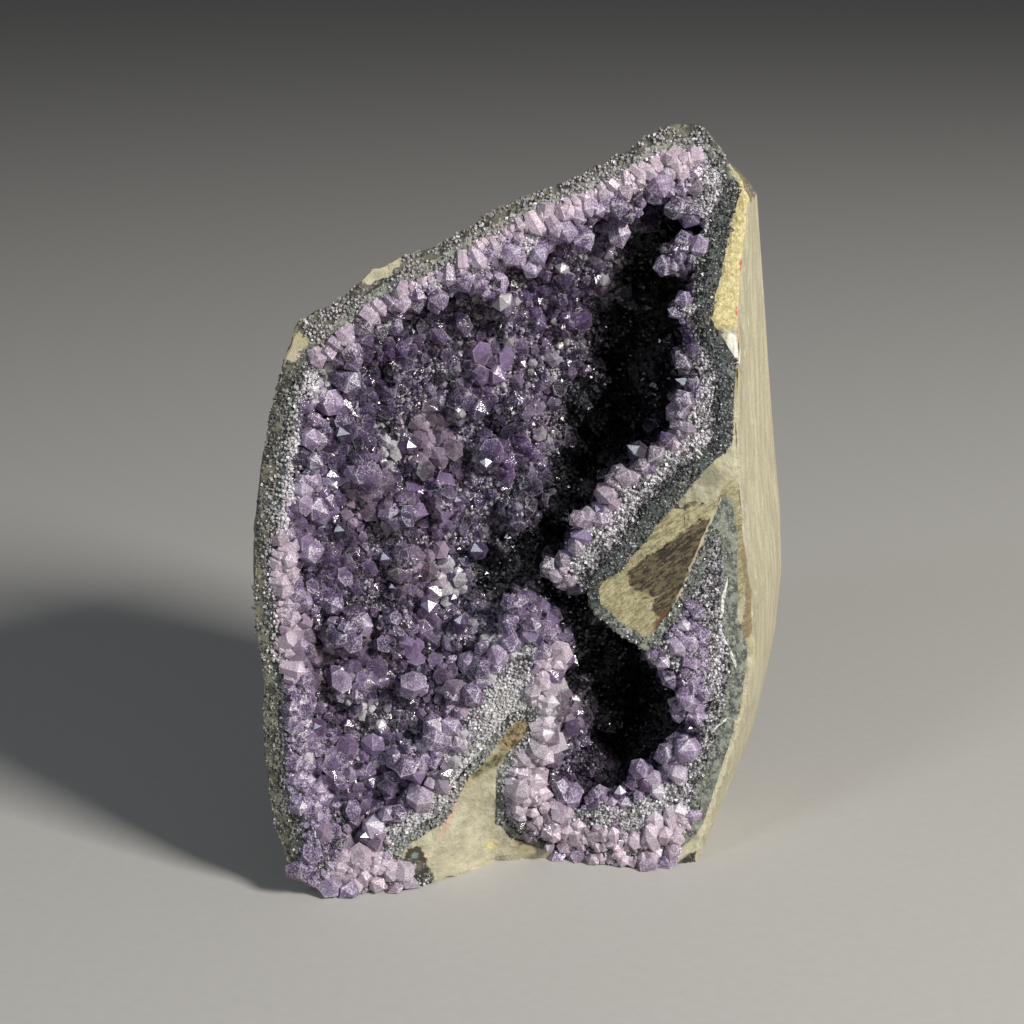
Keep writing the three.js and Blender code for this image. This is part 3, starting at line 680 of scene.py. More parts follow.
bed = welded_copy("amethyst_crust", "quartz_bed")
modify(bed, "REMESH", mode="VOXEL", voxel_size=BED_VOXEL / 1000)
modify(bed, "SMOOTH", factor=0.5, iterations=BED_SMOOTHING)
points, normals = points_of(bed), normals_of(bed)
edges = np.array([edge.vertices[:] for edge in bed.data.edges])
to_rind, from_rind = nearest_on(rind_tree, points)
grow_way = softened(normals, edges, NORMAL_SMOOTHING)
depth = behind_face(points)
band = smooth_step(-grow_way[:, 1], 0.3, 0.6) * bell(depth, 1.8)
covered = [rind_tree.ray_cast(Vector(point) / 1000, Vector(normal), COVER_REACH / 1000)[0] is not None
           for point, normal in zip(points, normals)]
covered = softened_values(np.array(covered, float), edges, 2)
open_side = smooth_step(from_rind, BED_CLEAR * 0.7, BED_CLEAR * 1.5) * (covered < 0.3)
border = np.max([width * bell(from_path(points, path), RIM_REACH) for width, path in DARK_BORDERS], axis=0)
border = 0.3 + border * np.clip(0.95 + 0.6 * lumps(points, 6) + 0.45 * lumps(points, 2.4), 0.2, 1.8)
past_border = from_rind - border
smooth_strip = within(from_path(points, SMOOTH_EDGE), 4, 6)
smooth_strip *= within(from_rind, SMOOTH_WIDTH, SMOOTH_WIDTH + 0.5)
from_lines = []  # how far to the right of each white line
for line in WHITE_LINES:
    line_x, line_z = np.array(line[::-1]).T
    past_ends = np.clip(line_z[0] - points[:, 2], 0, None) + np.clip(points[:, 2] - line_z[-1], 0, None)
    from_lines.append(points[:, 0] - np.interp(points[:, 2], line_z, line_x) + past_ends)


def triangles_of(piece):
    piece.data.calc_loop_triangles()
    corners = np.empty(len(piece.data.loop_triangles) * 3, int)
    piece.data.loop_triangles.foreach_get("vertices", corners)
    return corners.reshape(-1, 3)


triangles = triangles_of(bed)


def scatter(count, weight):
    """Random seats on the surface that points and triangles hold at the time: for each, the numbers of three
    points around it and the share that each has in it"""
    a, b, c = points[triangles].transpose(1, 0, 2)
    area = np.linalg.norm(np.cross(b - a, c - a), axis=1) * weight[triangles].mean(axis=1)
    chosen = rng.choice(len(triangles), count, p=area / area.sum())
    u, v = rng.random((2, count))
    flip = u + v > 1
    u, v = np.where(flip, 1 - u, u), np.where(flip, 1 - v, v)
    return triangles[chosen], np.stack([1 - u - v, u, v], axis=1)


def at(seats, values):
    """Values of the points of the surface, read at the seats"""
    corners, shares = seats
    if values.ndim == 1:
        return (values[corners] * shares).sum(axis=1)
    return (values[corners] * shares[:, :, None]).sum(axis=1)


def only(seats, chosen):
    return seats[0][chosen], seats[1][chosen]


knob_places = at(scatter(KNOB_TRIES, open_side * (1 - band)), points)
knob_places = knob_places[spread(knob_places, np.full(len(knob_places), KNOB_SPACING))]
knob_tree = tree_over(knob_places)
nearest_knob = [knob_tree.find(point) for point in points]
knob_away = np.array([hit[2] for hit in nearest_knob])
knob_offset = points - np.array([hit[0][:] for hit in nearest_knob])
rise = KNOB_RISE * bell(knob_away, KNOB_RADIUS) * (1 - band)
rise += 0.35 * lumps(points, 3.0) + 0.25 * lumps(points, 1.6)
rise *= open_side
points = fill_grooves(points, depth * (from_rind < 2.5)) + grow_way * rise[:, None]
points += (0.5 * band * within(from_rind, 0.6, 1.6) / np.maximum(from_rind, 0.3))[:, None] * to_rind
points[:, 2] = np.maximum(points[:, 2], BED_LOWEST)
move_points(bed, points)
depth = behind_face(points)
# Painted shade: how far each point of the bed lies in the deepest part of the hollow, where it is made nearly
# black
gloom = painted_shade_at(points)
paint(bed, gloom=gloom, band=band, past_border=past_border, smooth_strip=smooth_strip, frost=frost(points),
      white_line_1=from_lines[0], white_line_2=from_lines[1])

crust = Shader("druzy_quartz_bed")
sugar = crust.noise(0.5, 2, 0.75)
patches = crust.noise(5, 4, 0.6)
crystal_cells = crust.cells(0.9)
shade = crust.tones(patches, 0.35, 0.65, (34, 27, 43), (84, 70, 96))
shade = crust.tones(sugar, 0.50, 0.56, shade, (118, 102, 128))
shade = crust.tones(sugar, 0.57, 0.62, shade, (214, 204, 218))
# Painted shade: the bed is made nearly black in the deepest part of the hollow
shade = crust.mix(crust.field("gloom"), shade, (8, 5, 13))
cut = crust.tones(sugar, 0.42, 0.56, (38, 40, 42), (188, 182, 188))
green = crust.tones(patches, 0.4, 0.6, (22, 29, 28), (66, 75, 72))
green = crust.tones(sugar, 0.58, 0.7, green, (120, 126, 122))
cut = crust.patches(cut, ("past_border", 0.2, 0.9, 0.5, green))
strip = crust.tones(crust.noise(1.1, 4, 0.75), 0.42, 0.58, (70, 76, 70), (132, 136, 124))
cut = crust.tones(crust.field("smooth_strip"), 0.3, 0.7, cut, strip)
on_band = crust.step(crust.field("band"), 0.25, 0.6)
shade = crust.mix(on_band, shade, cut)
frosty = crust.tones(sugar, 0.40, 0.60, (122, 126, 118), (222, 220, 214))
shade = crust.mix(crust.times(crust.field("frost"), 0.8), shade, frosty)
for number in (1, 2):
    away = crust.maths("ABSOLUTE", crust.field(f"white_line_{number}"), 0.0)
    shade = crust.mix(crust.times(crust.step(away, 0.34, 0.20), on_band), shade, (222, 222, 216))
crust.bump((crystal_cells, 0.4), (sugar, 0.3))
bed.data.materials.append(crust.finish(Base_Color=shade, Roughness=crust.ramp(sugar, 0.35, 0.65, 0.2, 0.5)))
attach(bed, "root")
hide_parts("amethyst_crust")


# The amethyst points: clear quartz with six sides and a six-sided tip, violet or milky. The large ones
# stand in clusters, and smaller ones fill the wall between them down to grains like coarse sugar
ROOT = 0.8  # how deep a point is buried, in radii
TIP = 0.88  # the height of its tip, in radii
TIP_SLOPE = math.atan2(TIP, math.cos(math.pi / 6))  # between the axis of a point and a face of its tip
FRONT_END = -51.2  # no point reaches further to the front
LOWEST = 0.25  # nor further down
QUARTZ_IOR = 1.544
VIOLET_LEFT = (0.60, 0.48, 0.71, 1)  # the light that is left after its way through the quartz
# Kinds of points. Tries is how many seats are tried. Least and most are radii in millimetres, and the greater
# the number at small is, the more of them are small. Room and shaft are in radii. Lean is how far off its
# direction a point is at random, and uneven how far off its shape is
LARGE = {"tries": 5500, "least": 1.5, "most": 3.5, "small": 1.7, "room": 1.12, "shaft": (0.0, 0.6),
         "lean": 0.22, "uneven": 0.7}
MIDDLE = {"tries": 6000, "least": 0.95, "most": 2.1, "small": 1.7, "room": 1.2, "shaft": (0.0, 0.8),
          "lean": 0.26, "uneven": 0.8}
SMALL = {"tries": 8700, "least": 0.45, "most": 0.9, "small": 1.7, "room": 1.35, "shaft": (0.0, 0.9),
         "lean": 0.4, "uneven": 0.8}
MILKY = {"tries": 420, "least": 0.9, "most": 2.6, "small": 1.7, "room": 1.0, "shaft": (0.0, 0.6),
         "lean": 0.3, "uneven": 0.8}
GRAIN = {"tries": 19500, "least": 0.34, "most": 0.66, "small": 1, "room": 1.15, "shaft": (0.4, 1.2),
         "lean": 0.5}
GRAINS_IN_MESH = 16000
# Points of which one clean face throws the light of a lamp to the camera. Their room is in millimetres,
# lifted is how far they stand out of the bed in radii, and miss is how far the face may lean off
GLINTS = {"tries": 1500, "kept": 70, "least": 0.8, "most": 2.7, "small": 2, "room": 6.0,
          "shaft": (0.5, 1.0), "lifted": 1.2, "miss": 0.03, "by_key_lamp": 0.4}
CLEARING = 1.7  # how far the other points keep from these
KNOB_REACH = 3.5  # how far around the middle of a knob larger points stand closer together

# Clusters of large points: X, Z, radius and the kind of colour
CLUSTERS = [(-48, 102, 8, "lilac"), (-42, 99, 6, "pink"), (-46, 112, 5, "violet"), (-39, 124, 5, "violet"),
            (-34, 140, 5, "violet"), (-23, 112, 5, "pink"), (-60, 80, 6, "pink"), (-49, 82, 6, "violet"),
            (-57, 64, 7, "pink"), (-40, 58, 5, "lilac"), (-24, 77, 5, "pink"), (-26, 62, 4, "lilac"),
            (4, 62, 7, "lilac"), (8, 42, 5, "pink"), (7, 35, 5, "pink"), (-16, 48, 4, "pink"),
            (-35, 26, 7, "lilac"), (-46, 29, 5, "lilac"), (-42, 9, 8, "pink"), (44, 176, 6, "pink"),
            (36, 166, 5, "violet"), (-13, 120, 5, "violet"), (-3, 106, 5, "violet"), (46, 44, 5, "pink"),
            (45, 54, 5, "lilac"), (-8, 132, 5, "lilac"), (8, 145, 6, "violet"), (-24, 95, 5, "lilac"),
            (16, 82, 6, "lilac"), (25, 93, 6, "pink"), (36, 106, 6, "lilac"), (45, 118, 5, "pink"),
            (44, 138, 5, "violet")]
KINDS = {"lilac": (164, 138, 186), "pink": (202, 178, 204), "violet": (108, 84, 132)}
# Small groups of milky white points: X, Z and radius
MILKY_GROUPS = [(-51, 131, 4), (-34, 110, 2.5), (-19, 74, 3.5), (-5, 59, 4), (6, 50, 4.5), (-39, 43, 2.5),
                (-57, 37, 2), (-33, 12, 4), (-14, 36, 4), (-45, 80, 2)]
# Crusts of frosty points along the break, as X and Z of points along them: nearly white, a little pink
PALE_FRINGES = [[(-51, 142), (-44, 149), (-34, 155), (-21, 161), (-6, 169), (8, 174), (21, 179), (33, 184),
                 (39, 183)],
                [(-63, 92), (-63.5, 78), (-62, 60)], [(-44, 7), (-36, 4)],
                [(2, 30), (2, 16), (9, 8), (22, 4), (34, 5), (41, 10)], [(4, 40), (8, 47), (8, 56)]]
PALE_REACH = (2.5, 6.0)


def tint_of(red, green, blue):
    return np.array(tone(red, green, blue)[:3])


bright = tint_of(238, 234, 240)
pinkish = tint_of(242, 218, 234)
frosty_pink = tint_of(240, 226, 238)
lilac = tint_of(160, 138, 176)
violet = tint_of(108, 86, 128)
smoky = tint_of(50, 42, 62)
# The colour of painted shade, for points in the deepest part of the hollow
painted_shade_violet = tint_of(10, 7, 18)


def blend(share, first, second):
    """Colours between two, where a share of 0 is all the first. Either may be one colour or many"""
    return first * (1 - share[:, None]) + second * share[:, None]


def taken_apart(pattern, first_middle=None):
    """Corners, faces, and for each corner that is the middle of a face the corners around it"""
    corners = points_of(pattern) / 1000
    faces = [face.vertices[:] for face in pattern.data.polygons]
    middles = {}
    for middle in range(first_middle or len(corners), len(corners)):
        middles[middle] = sorted({corner for face in faces if middle in face for corner in face} - {middle})
    bpy.data.objects.remove(pattern)
    return corners, faces, middles


def make_point(split):
    """One quartz point: a six-sided prism from Z = -1 to 1 with a tip at Z = 2, of radius 1. Where it is
    split, each side has a corner in its middle, so that its outline can have a colour of its own"""
    bpy.ops.object.select_all(action="DESELECT")
    bpy.ops.mesh.primitive_cylinder_add(vertices=6, radius=1, depth=2, location=(0, 0, 0))
    pattern = bpy.context.object
    bpy.ops.object.mode_set(mode="EDIT")
    bpy.ops.mesh.select_mode(type="FACE")
    bpy.ops.mesh.select_all(action="DESELECT")
    bpy.ops.object.mode_set(mode="OBJECT")
    for face in pattern.data.polygons:
        face.select = face.normal.z > 0.9
    bpy.ops.object.mode_set(mode="EDIT")
    bpy.ops.mesh.extrude_region_move(TRANSFORM_OT_translate={"value": (0, 0, 1)})
    bpy.ops.mesh.merge(type="CENTER")
    bpy.ops.object.mode_set(mode="OBJECT")
    first_middle = len(pattern.data.vertices)
    if split:
        for face in pattern.data.polygons:
            face.select = face.normal.z > -0.9
        bpy.ops.object.mode_set(mode="EDIT")
        bpy.ops.mesh.poke()
        bpy.ops.object.mode_set(mode="OBJECT")
    return taken_apart(pattern, first_middle)


def make_grain():
    """One grain of the druse: a block that stands on its corner, from Z = -1 to 2, of radius about 1"""
    bpy.ops.object.select_all(action="DESELECT")
    bpy.ops.mesh.primitive_cube_add(size=1, location=(0, 0, 0))
    pattern = bpy.context.object
    turn = Vector((1, 1, 1)).rotation_difference(Vector((0, 0, 1)))
    for vertex in pattern.data.vertices:
        vertex.co = turn @ vertex.co
        vertex.co = (vertex.co.x * 1.1, vertex.co.y * 1.1, vertex.co.z * 1.73 + 0.5)
    return taken_apart(pattern)


def unit(vectors):
    return vectors / np.linalg.norm(vectors, axis=-1, keepdims=True)


def grow(name, pattern, seat, way, radius, shaft, tint, uneven=1.0, side=None):
    """One mesh of many quartz points. Each has its own seat, direction, radius, shaft and tint"""
    corners, faces, middles = pattern
    count, each = len(seat), len(corners)
    x, y, z = corners.T
    angle = np.arctan2(y, x)
    on_tip = np.clip(z - 1, 0, 1)
    at_shoulder = bell(z - 1, 0.6)
    wide = rng.uniform(1 - 0.16 * uneven, 1 + 0.18 * uneven, (count, 1))
    skew = uneven * rng.uniform(-0.28, 0.28, (2, count, 1))
    jagged = uneven * rng.uniform(-0.2, 0.2, (count, 1))
    sloped = uneven * rng.uniform(-0.22, 0.22, (count, 1))
    turned = rng.uniform(0, 2 * math.pi, (count, 1))
    taper = 1 - 0.22 * np.clip(-z, 0, 1)
    height = np.where(z <= 1, -ROOT + (z + 1) / 2 * (ROOT + shaft[:, None]), shaft[:, None] + TIP * on_tip)
    height = height + at_shoulder * (jagged * np.cos(3 * angle) + sloped * np.cos(angle + turned))
    local_x = x * taper * wide + skew[0] * on_tip
    local_y = y * taper / wide + skew[1] * on_tip
    if side is None:
        side = unit(np.cross(way, rng.normal(size=(count, 3))))
    other = np.cross(way, side)
    cluster = (local_x[..., None] * side[:, None] + local_y[..., None] * other[:, None]
               + height[..., None] * way[:, None])
    cluster = seat[:, None] + cluster * radius[:, None, None]
    for middle, around in middles.items():
        cluster[:, middle] = cluster[:, around].mean(axis=1)
    cluster[..., 1] = np.maximum(cluster[..., 1], FRONT_END)
    cluster[..., 2] = np.maximum(cluster[..., 2], LOWEST)
    mesh = bpy.data.meshes.new(name)
    sizes = [len(face) for face in faces]
    loops = np.concatenate([np.array(face) for face in faces])
    all_loops = (loops[None] + each * np.arange(count)[:, None]).ravel()
    mesh.vertices.add(count * each)
    mesh.vertices.foreach_set("co", (cluster / 1000).ravel())
    mesh.loops.add(len(all_loops))
    mesh.loops.foreach_set("vertex_index", all_loops)
    mesh.polygons.add(count * len(faces))
    starts = np.concatenate([[0], np.cumsum(np.tile(sizes, count))[:-1]])
    mesh.polygons.foreach_set("loop_start", starts)
    mesh.update(calc_edges=True)
    mesh.validate()
    mesh.shade_flat()
    piece = bpy.data.objects.new(name, mesh)
    bpy.context.collection.objects.link(piece)
    shoulder = np.where(z > 1.5, 0.45, np.where(z > 0.5, 1.0, 0.0))
    outline = np.array([bool(middles) and i not in middles for i in range(each)]) * shoulder
    paint(piece, outline=np.tile(outline, count))
    colours = np.repeat(np.column_stack([tint, np.ones(count)]), each, axis=0)
    mesh.attributes.new("tint", "FLOAT_COLOR", "POINT").data.foreach_set("color", colours.ravel())
    return piece


def finish_points(piece, material):
    piece.data.materials.append(material)
    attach(piece, "root")
    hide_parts("amethyst_crust")


def quartz(name, clearness, sugar, gloss, density):
    """Violet quartz. Sugar is how much of it tiny white crystals cover, gloss is the roughness of the rest,
    and density is how fast light fades in it"""
    stuff = Shader(name)
    fine = stuff.noise(0.42, 3, 0.85)
    level = stuff.maths("ADD", fine, stuff.times(stuff.noise(2.2, 3, 0.6), 0.35))
    own = stuff.colours("tint")
    # lit is 0 on the nearly black tint of painted shade, which keeps the specks, sheen and outlines below off
    # it
    lit = stuff.step(own, 0.004, 0.03)
    dark = stuff.times(stuff.step(level, 0.68, 0.58), 0.4)
    shade = stuff.mix(dark, own, stuff.mix(0.6, own, (20, 14, 30)))
    veils = stuff.times(stuff.step(stuff.noise(1.4, 5, 0.7), 0.50, 0.68), lit, 0.34)
    shade = stuff.mix(veils, shade, (222, 208, 228))
    # Painted sheen: faces seen at a grazing angle are made paler
    grazing_sheen = stuff.step(stuff.node("LayerWeight", {"Blend": 0.5}).outputs["Facing"], 0.55, 0.95)
    shade = stuff.mix(stuff.times(grazing_sheen, 0.4, lit), shade, (226, 214, 234))
    edge_line = stuff.times(stuff.step(stuff.field("outline"), 0.66, 1.0), stuff.step(level, 0.50, 0.78), lit)
    shade = stuff.mix(edge_line, shade, (230, 220, 236))
    white = stuff.times(lit, stuff.step(level, 0.76 - 0.08 * sugar, 0.82 - 0.08 * sugar))
    shade = stuff.mix(stuff.times(white, 0.25 + 0.6 * sugar), shade, (236, 230, 240))
    if sugar:
        stuff.bump((stuff.cells(0.7), 0.12 * sugar), (fine, 0.12 * sugar))
    roughness = stuff.ramp(white, 0, 1, gloss, gloss + 0.25 * sugar)
    absorb = stuff.node("VolumeAbsorption", {"Color": VIOLET_LEFT, "Density": density})
    stuff.tree.links.new(absorb.outputs[0], stuff.tree.nodes["Material Output"].inputs["Volume"])
    return stuff.finish(Base_Color=shade, Roughness=roughness, IOR=QUARTZ_IOR, Transmission_Weight=clearness)


def pale_near_break(places):
    """1 on the frosty crusts along the break"""
    return within(from_paths(places, PALE_FRINGES), *PALE_REACH) * within(behind_face(places), 3, 9)


def wall_tints(places, chance, contrast):
    """Colour of each point on the wall: smoky, violet or bright by chance and by the patch it stands in,
    nearly black as painted shade deep in the hollow
    """
    patch = 0.5 + 0.5 * (0.6 * lumps(places, 15) + 0.5 * lumps(places + 50, 5.5))
    level = np.clip(0.46 + contrast * (chance - 0.5) + 0.55 * (patch - 0.5), 0, 1)
    colour = blend(smooth_step(level, 0.10, 0.50), smoky, violet)
    colour = blend(smooth_step(level, 0.50, 0.80), colour, lilac)
    colour = blend(smooth_step(level, 0.80, 1.0), colour, bright)
    colour = blend(0.7 * pale_near_break(places), colour, blend(chance, pinkish * 0.5, pinkish))
    colour = blend(0.6 * frost(places) ** 2, colour, blend(chance, frosty_pink * 0.45, frosty_pink))
    # Painted shade: points in the deepest part of the hollow are made nearly black
    return blend(0.94 * painted_shade_at(places), colour, painted_shade_violet)


def seated(kind, weight):
    """Seats, places and radii of points that each have their own room"""
    seats = scatter(kind["tries"], weight)
    place = at(seats, points)
    radius = kind["least"] + (kind["most"] - kind["least"]) * rng.random(len(place)) ** kind["small"]
    kept = spread(place, radius * kind["room"])
    return only(seats, kept), place[kept], radius[kept]


def plant(name, kind, pattern, weight, colour_of, material):
    """Points on the wall that fan out from the middle of their knob and keep off the rind"""
    seats, place, radius = seated(kind, weight)
    away = at(seats, knob_offset)
    way = unit(at(seats, grow_way))
    way = unit(way + 0.10 * away * np.exp(-np.linalg.norm(away, axis=1) / 6)[:, None]
               + rng.normal(scale=kind["lean"], size=way.shape))
    outwards = unit(at(seats, to_rind) + 1e-6)
    way = unit(way - 0.6 * np.clip((way * outwards).sum(axis=1), 0, None)[:, None] * outwards)
    tall = rng.uniform(*kind["shaft"], len(place))
    tint = colour_of(place, rng.random(len(place)))
    finish_points(grow(name, pattern, place, way, radius, tall, tint, kind["uneven"]), material)


def plant_grains(name, kind, place, way, radius, tint, material):
    """Meshes of grains, each of no more than one mesh may have"""
    for part, first in enumerate(range(0, len(place), GRAINS_IN_MESH)):
        some = slice(first, first + GRAINS_IN_MESH)
        tall = rng.uniform(*kind["shaft"], len(place[some]))
        grains = grow(f"{name}_{part + 1}", grain, place[some], way[some], radius[some], tall, tint[some])
        finish_points(grains, material)


def milky_tints(places, chance):
    return blend(chance, bright * 0.4, bright * 0.8)


def cluster_tints(places, chance):
    away = np.array([from_spot(places, (x, z)) / radius for x, z, radius, _ in CLUSTERS])
    kinds = np.array([tint_of(*KINDS[kind]) for _, _, _, kind in CLUSTERS])
    own = kinds[np.argmin(away, axis=0)] * (0.45 + 0.95 * chance[:, None] ** 1.5)
    colour = blend(within(away.min(axis=0), 1.1, 2.2), wall_tints(places, chance, 0.9), own)
    # Painted shade: points in the deepest part of the hollow are made nearly black
    return blend(0.94 * painted_shade_at(places), colour, painted_shade_violet)


def in_circles(circles, power):
    """1 in the middle of each circle and about a third at its radius. A high power makes it an even disc"""
    away = [from_spot(points, (x, z)) / radius for x, z, radius, *_ in circles]
    return np.max([np.exp(-ratio ** power) for ratio in away], axis=0)


frosted = quartz("frosted_amethyst", clearness=0.6, sugar=0.35, gloss=0.09, density=110.0)
clear = quartz("clear_amethyst", clearness=0.68, sugar=0.45, gloss=0.07, density=150.0)
druzy = quartz("druzy_amethyst", clearness=0.55, sugar=0.4, gloss=0.08, density=150.0)
sugary = quartz("sugary_quartz", clearness=0.25, sugar=0.5, gloss=0.20, density=60.0)
milky = quartz("milky_amethyst", clearness=0.32, sugar=0.7, gloss=0.16, density=80.0)
outlined = make_point(split=True)
plain = make_point(split=False)
grain = make_grain()

# Fewer points stand where the bed is painted in shade
calm = 1 - 0.9 * gloom
inside = open_side * (1 - band) ** 2
seats = scatter(GLINTS["tries"], inside * (0.2 + 0.8 * calm))
place = at(seats, points)
kept = spread(place, np.full(len(place), GLINTS["room"]))[:GLINTS["kept"]]
seats, place = only(seats, kept), place[kept]
to_eye = unit(np.array(camera.location) * 1000 - place)
from_key = rng.random(len(place)) < GLINTS["by_key_lamp"]
lamp_ways = np.where(from_key[:, None], np.array(KEY_FROM.normalized()), np.array(FILL_FROM.normalized()))
half_way = unit(unit(lamp_ways) + to_eye + rng.normal(scale=GLINTS["miss"], size=place.shape))
out = unit(at(seats, grow_way))
aside = unit(out - half_way * (out * half_way).sum(axis=1, keepdims=True))
way = math.cos(TIP_SLOPE) * half_way + math.sin(TIP_SLOPE) * aside
side = unit(half_way - way * (half_way * way).sum(axis=1, keepdims=True))
radius = GLINTS["least"] + (GLINTS["most"] - GLINTS["least"]) * rng.random(len(place)) ** GLINTS["small"]
tint = wall_tints(place, 0.3 + 0.5 * rng.random(len(place)), 0.8)
lifted = place + out * radius[:, None] * GLINTS["lifted"]
tall = rng.uniform(*GLINTS["shaft"], len(place))
glints = grow("amethyst_points_bright", plain, lifted, way, radius, tall, tint, 0.0, side)
finish_points(glints, quartz("clean_amethyst", clearness=0.6, sugar=0.0, gloss=0.2, density=220.0))
glint_away = np.min([np.linalg.norm(points - spot, axis=1) for spot in place], axis=0)
free = 1 - bell(glint_away, CLEARING)

in_cluster = in_circles(CLUSTERS, 2)
milky_group = in_circles(MILKY_GROUPS, 4)
knobby = bell(knob_away, KNOB_REACH)
patchy = smooth_step(lumps(points, 7) + 0.8 * knobby, -0.3, 0.8)
plant("amethyst_points_milky", MILKY, outlined, inside * milky_group * calm, milky_tints, sugary)
room_left = inside * free * calm * (1 - milky_group)
crowded = (0.03 + in_cluster + 0.14 * knobby) ** 2
plant("amethyst_points_large", LARGE, outlined, room_left * crowded, cluster_tints, frosted)
plant("amethyst_points_middle", MIDDLE, outlined, room_left * (0.05 + patchy),
      lambda places, chance: wall_tints(places, chance, 1.0), clear)
plant("amethyst_points_small", SMALL, plain, inside * (0.35 + 0.65 * calm),
      lambda places, chance: wall_tints(places, chance, 1.4), druzy)

seats, place, radius = seated(GRAIN, inside)
way = unit(at(seats, grow_way) + rng.normal(scale=GRAIN["lean"], size=place.shape))
tint = wall_tints(place, rng.random(len(place)), 2.2)
lifted = place + way * rng.uniform(0, 0.5, (len(place), 1))
plant_grains("amethyst_druse", GRAIN, lifted, way, radius, tint, druzy)


# The cut edge of the crust: grains side by side on the break, dark beside the rind and nearly white further
# in, and frosty pinkish points that lie across it and hang over the edge of the hollow
CUT_GRAIN = {"tries": 36500, "least": 0.26, "most": 0.6, "room": 1.12, "shaft": (0.4, 1.3), "lean": 0.45}
# Points that lie across the break: forward is how far they turn to the front, and pale how frosty they are
FRINGE = {"tries": 6600, "least": 0.7, "most": 2.4, "small": 1.6, "room": 0.95, "shaft": (0.2, 1.6),
          "forward": 0.35, "lean": 0.30, "pale": 1.1}
EDGE_POINTS = {"tries": 4500, "least": 1.0, "most": 3.5, "small": 1.6, "room": 1.15, "shaft": (0.2, 1.2),
               "forward": 0.8, "lean": 0.26, "pale": 0.8}
VIOLET_EDGE = [(-62.5, 60), (-61.5, 45), (-59.5, 30), (-55, 18)]  # where violet points reach the outline
VIOLET_LOBE = [(40, 66), (43.5, 58), (44.2, 46), (42.3, 34), (38, 25)]  # and the inner half of the break
SPUR_SIDE = [(14, 77), (17, 86), (23, 95), (32, 104), (42, 114)]  # where larger points hang over the hollow
# Where the break is lighter or darker than elsewhere: by how much, how far around, and X and Z of points
# along it
LIGHTER = [(0.62, 4.5, [(-52, 130), (-58, 110), (-60, 92), (-60, 60)]),
           (-0.22, 1.5, [(-53, 141), (-59, 127), (-62, 110), (-64, 95), (-64.5, 78), (-64, 60), (-62, 40)]),
           (0.40, 9, [(-50, 145), (-33, 156), (-20, 162), (-5, 169), (9, 176), (22, 181), (36, 187)]),
           (0.3, 8, [(34, 189), (44, 186), (50, 180)]),
           (0.2, 6, [(50, 172), (48, 150), (51, 128), (51, 108)]),
           (-0.12, 7, [(47, 70), (51, 52), (50, 36), (44, 20)])]
FACING_FRONT = np.array([0, -0.9, 0])
dark_green = tint_of(34, 39, 37)
mid_grey = tint_of(124, 124, 120)
frosty_grey = tint_of(196, 197, 190)
rock_grey = tint_of(118, 119, 108)


def grain_tints(place, light):
    """Colour of grains on the break: blackish, grey or bright by chance, more of them bright where it is
    light"""
    lighter = [amount * within(from_path(place, path), reach - 2, reach + 2)
               for amount, reach, path in LIGHTER]
    light = np.clip(light + np.sum(lighter, axis=0) + 0.8 * frost(place), -0.6, 0.62)
    own = 0.12 + 0.76 * rng.random(len(place)) + 0.22 * lumps(place, 3.5) + 0.24 * lumps(place, 1.7)
    level = np.clip(own + light, 0, 1)
    lightest = blend(0.4 * pale_near_break(place), bright, pinkish)
    colour = blend(smooth_step(level, 0.38, 0.56), dark_green, mid_grey)
    colour = blend(smooth_step(level, 0.56, 0.92), colour, lightest)
    return blend(0.5 * frost(place), colour, frosty_grey)


def grains_on_break(name, seats, light, dull=0.0):
    """Grains that face the front, each with its own room. Dull is how much grey of the rock is in them"""
    kind = CUT_GRAIN
    place = at(seats, points)
    kept = spread(place, rng.uniform(kind["least"], kind["most"], len(place)) * kind["room"])
    place, light = place[kept], light[kept]
    radius = kind["least"] + (kind["most"] - kind["least"]) * rng.random(len(place))
    way = unit(FACING_FRONT + rng.normal(scale=kind["lean"], size=place.shape))
    tint = grain_tints(place, light) * (1 - dull) + rock_grey * dull
    plant_grains(name, kind, place, way, radius, tint, sugary)


def across_break(name, kind, weight):
    """Points on the break or at the edge of the hollow that point into the hollow"""
    seats, place, radius = seated(kind, weight)
    inwards = at(seats, inwards_at)
    inwards[:, 1] = 0
    ahead = kind["forward"] * np.array([0, -1, 0])
    way = unit(unit(inwards + 1e-6) + ahead + rng.normal(scale=kind["lean"], size=place.shape))
    chance = rng.random(len(place))
    pale = np.clip(pale_near_break(place) * kind["pale"], 0, 1)
    pale_tint = blend(chance, pinkish * 0.56, pinkish * 0.95)
    tint = blend(pale, wall_tints(place, 0.3 + 0.6 * chance, 0.9), pale_tint)
    tint = blend(0.6 * frost(place) ** 2, tint, blend(chance, frosty_pink * 0.55, frosty_pink))
    near_spur = within(from_path(place, SPUR_SIDE), 4, 7)
    tint = blend(0.65 * near_spur, tint, blend(chance, pinkish * 0.3, pinkish * 0.75))
    tall = rng.uniform(*kind["shaft"], len(place))
    finish_points(grow(name, outlined, place, way, radius, tall, tint, 0.8), milky)


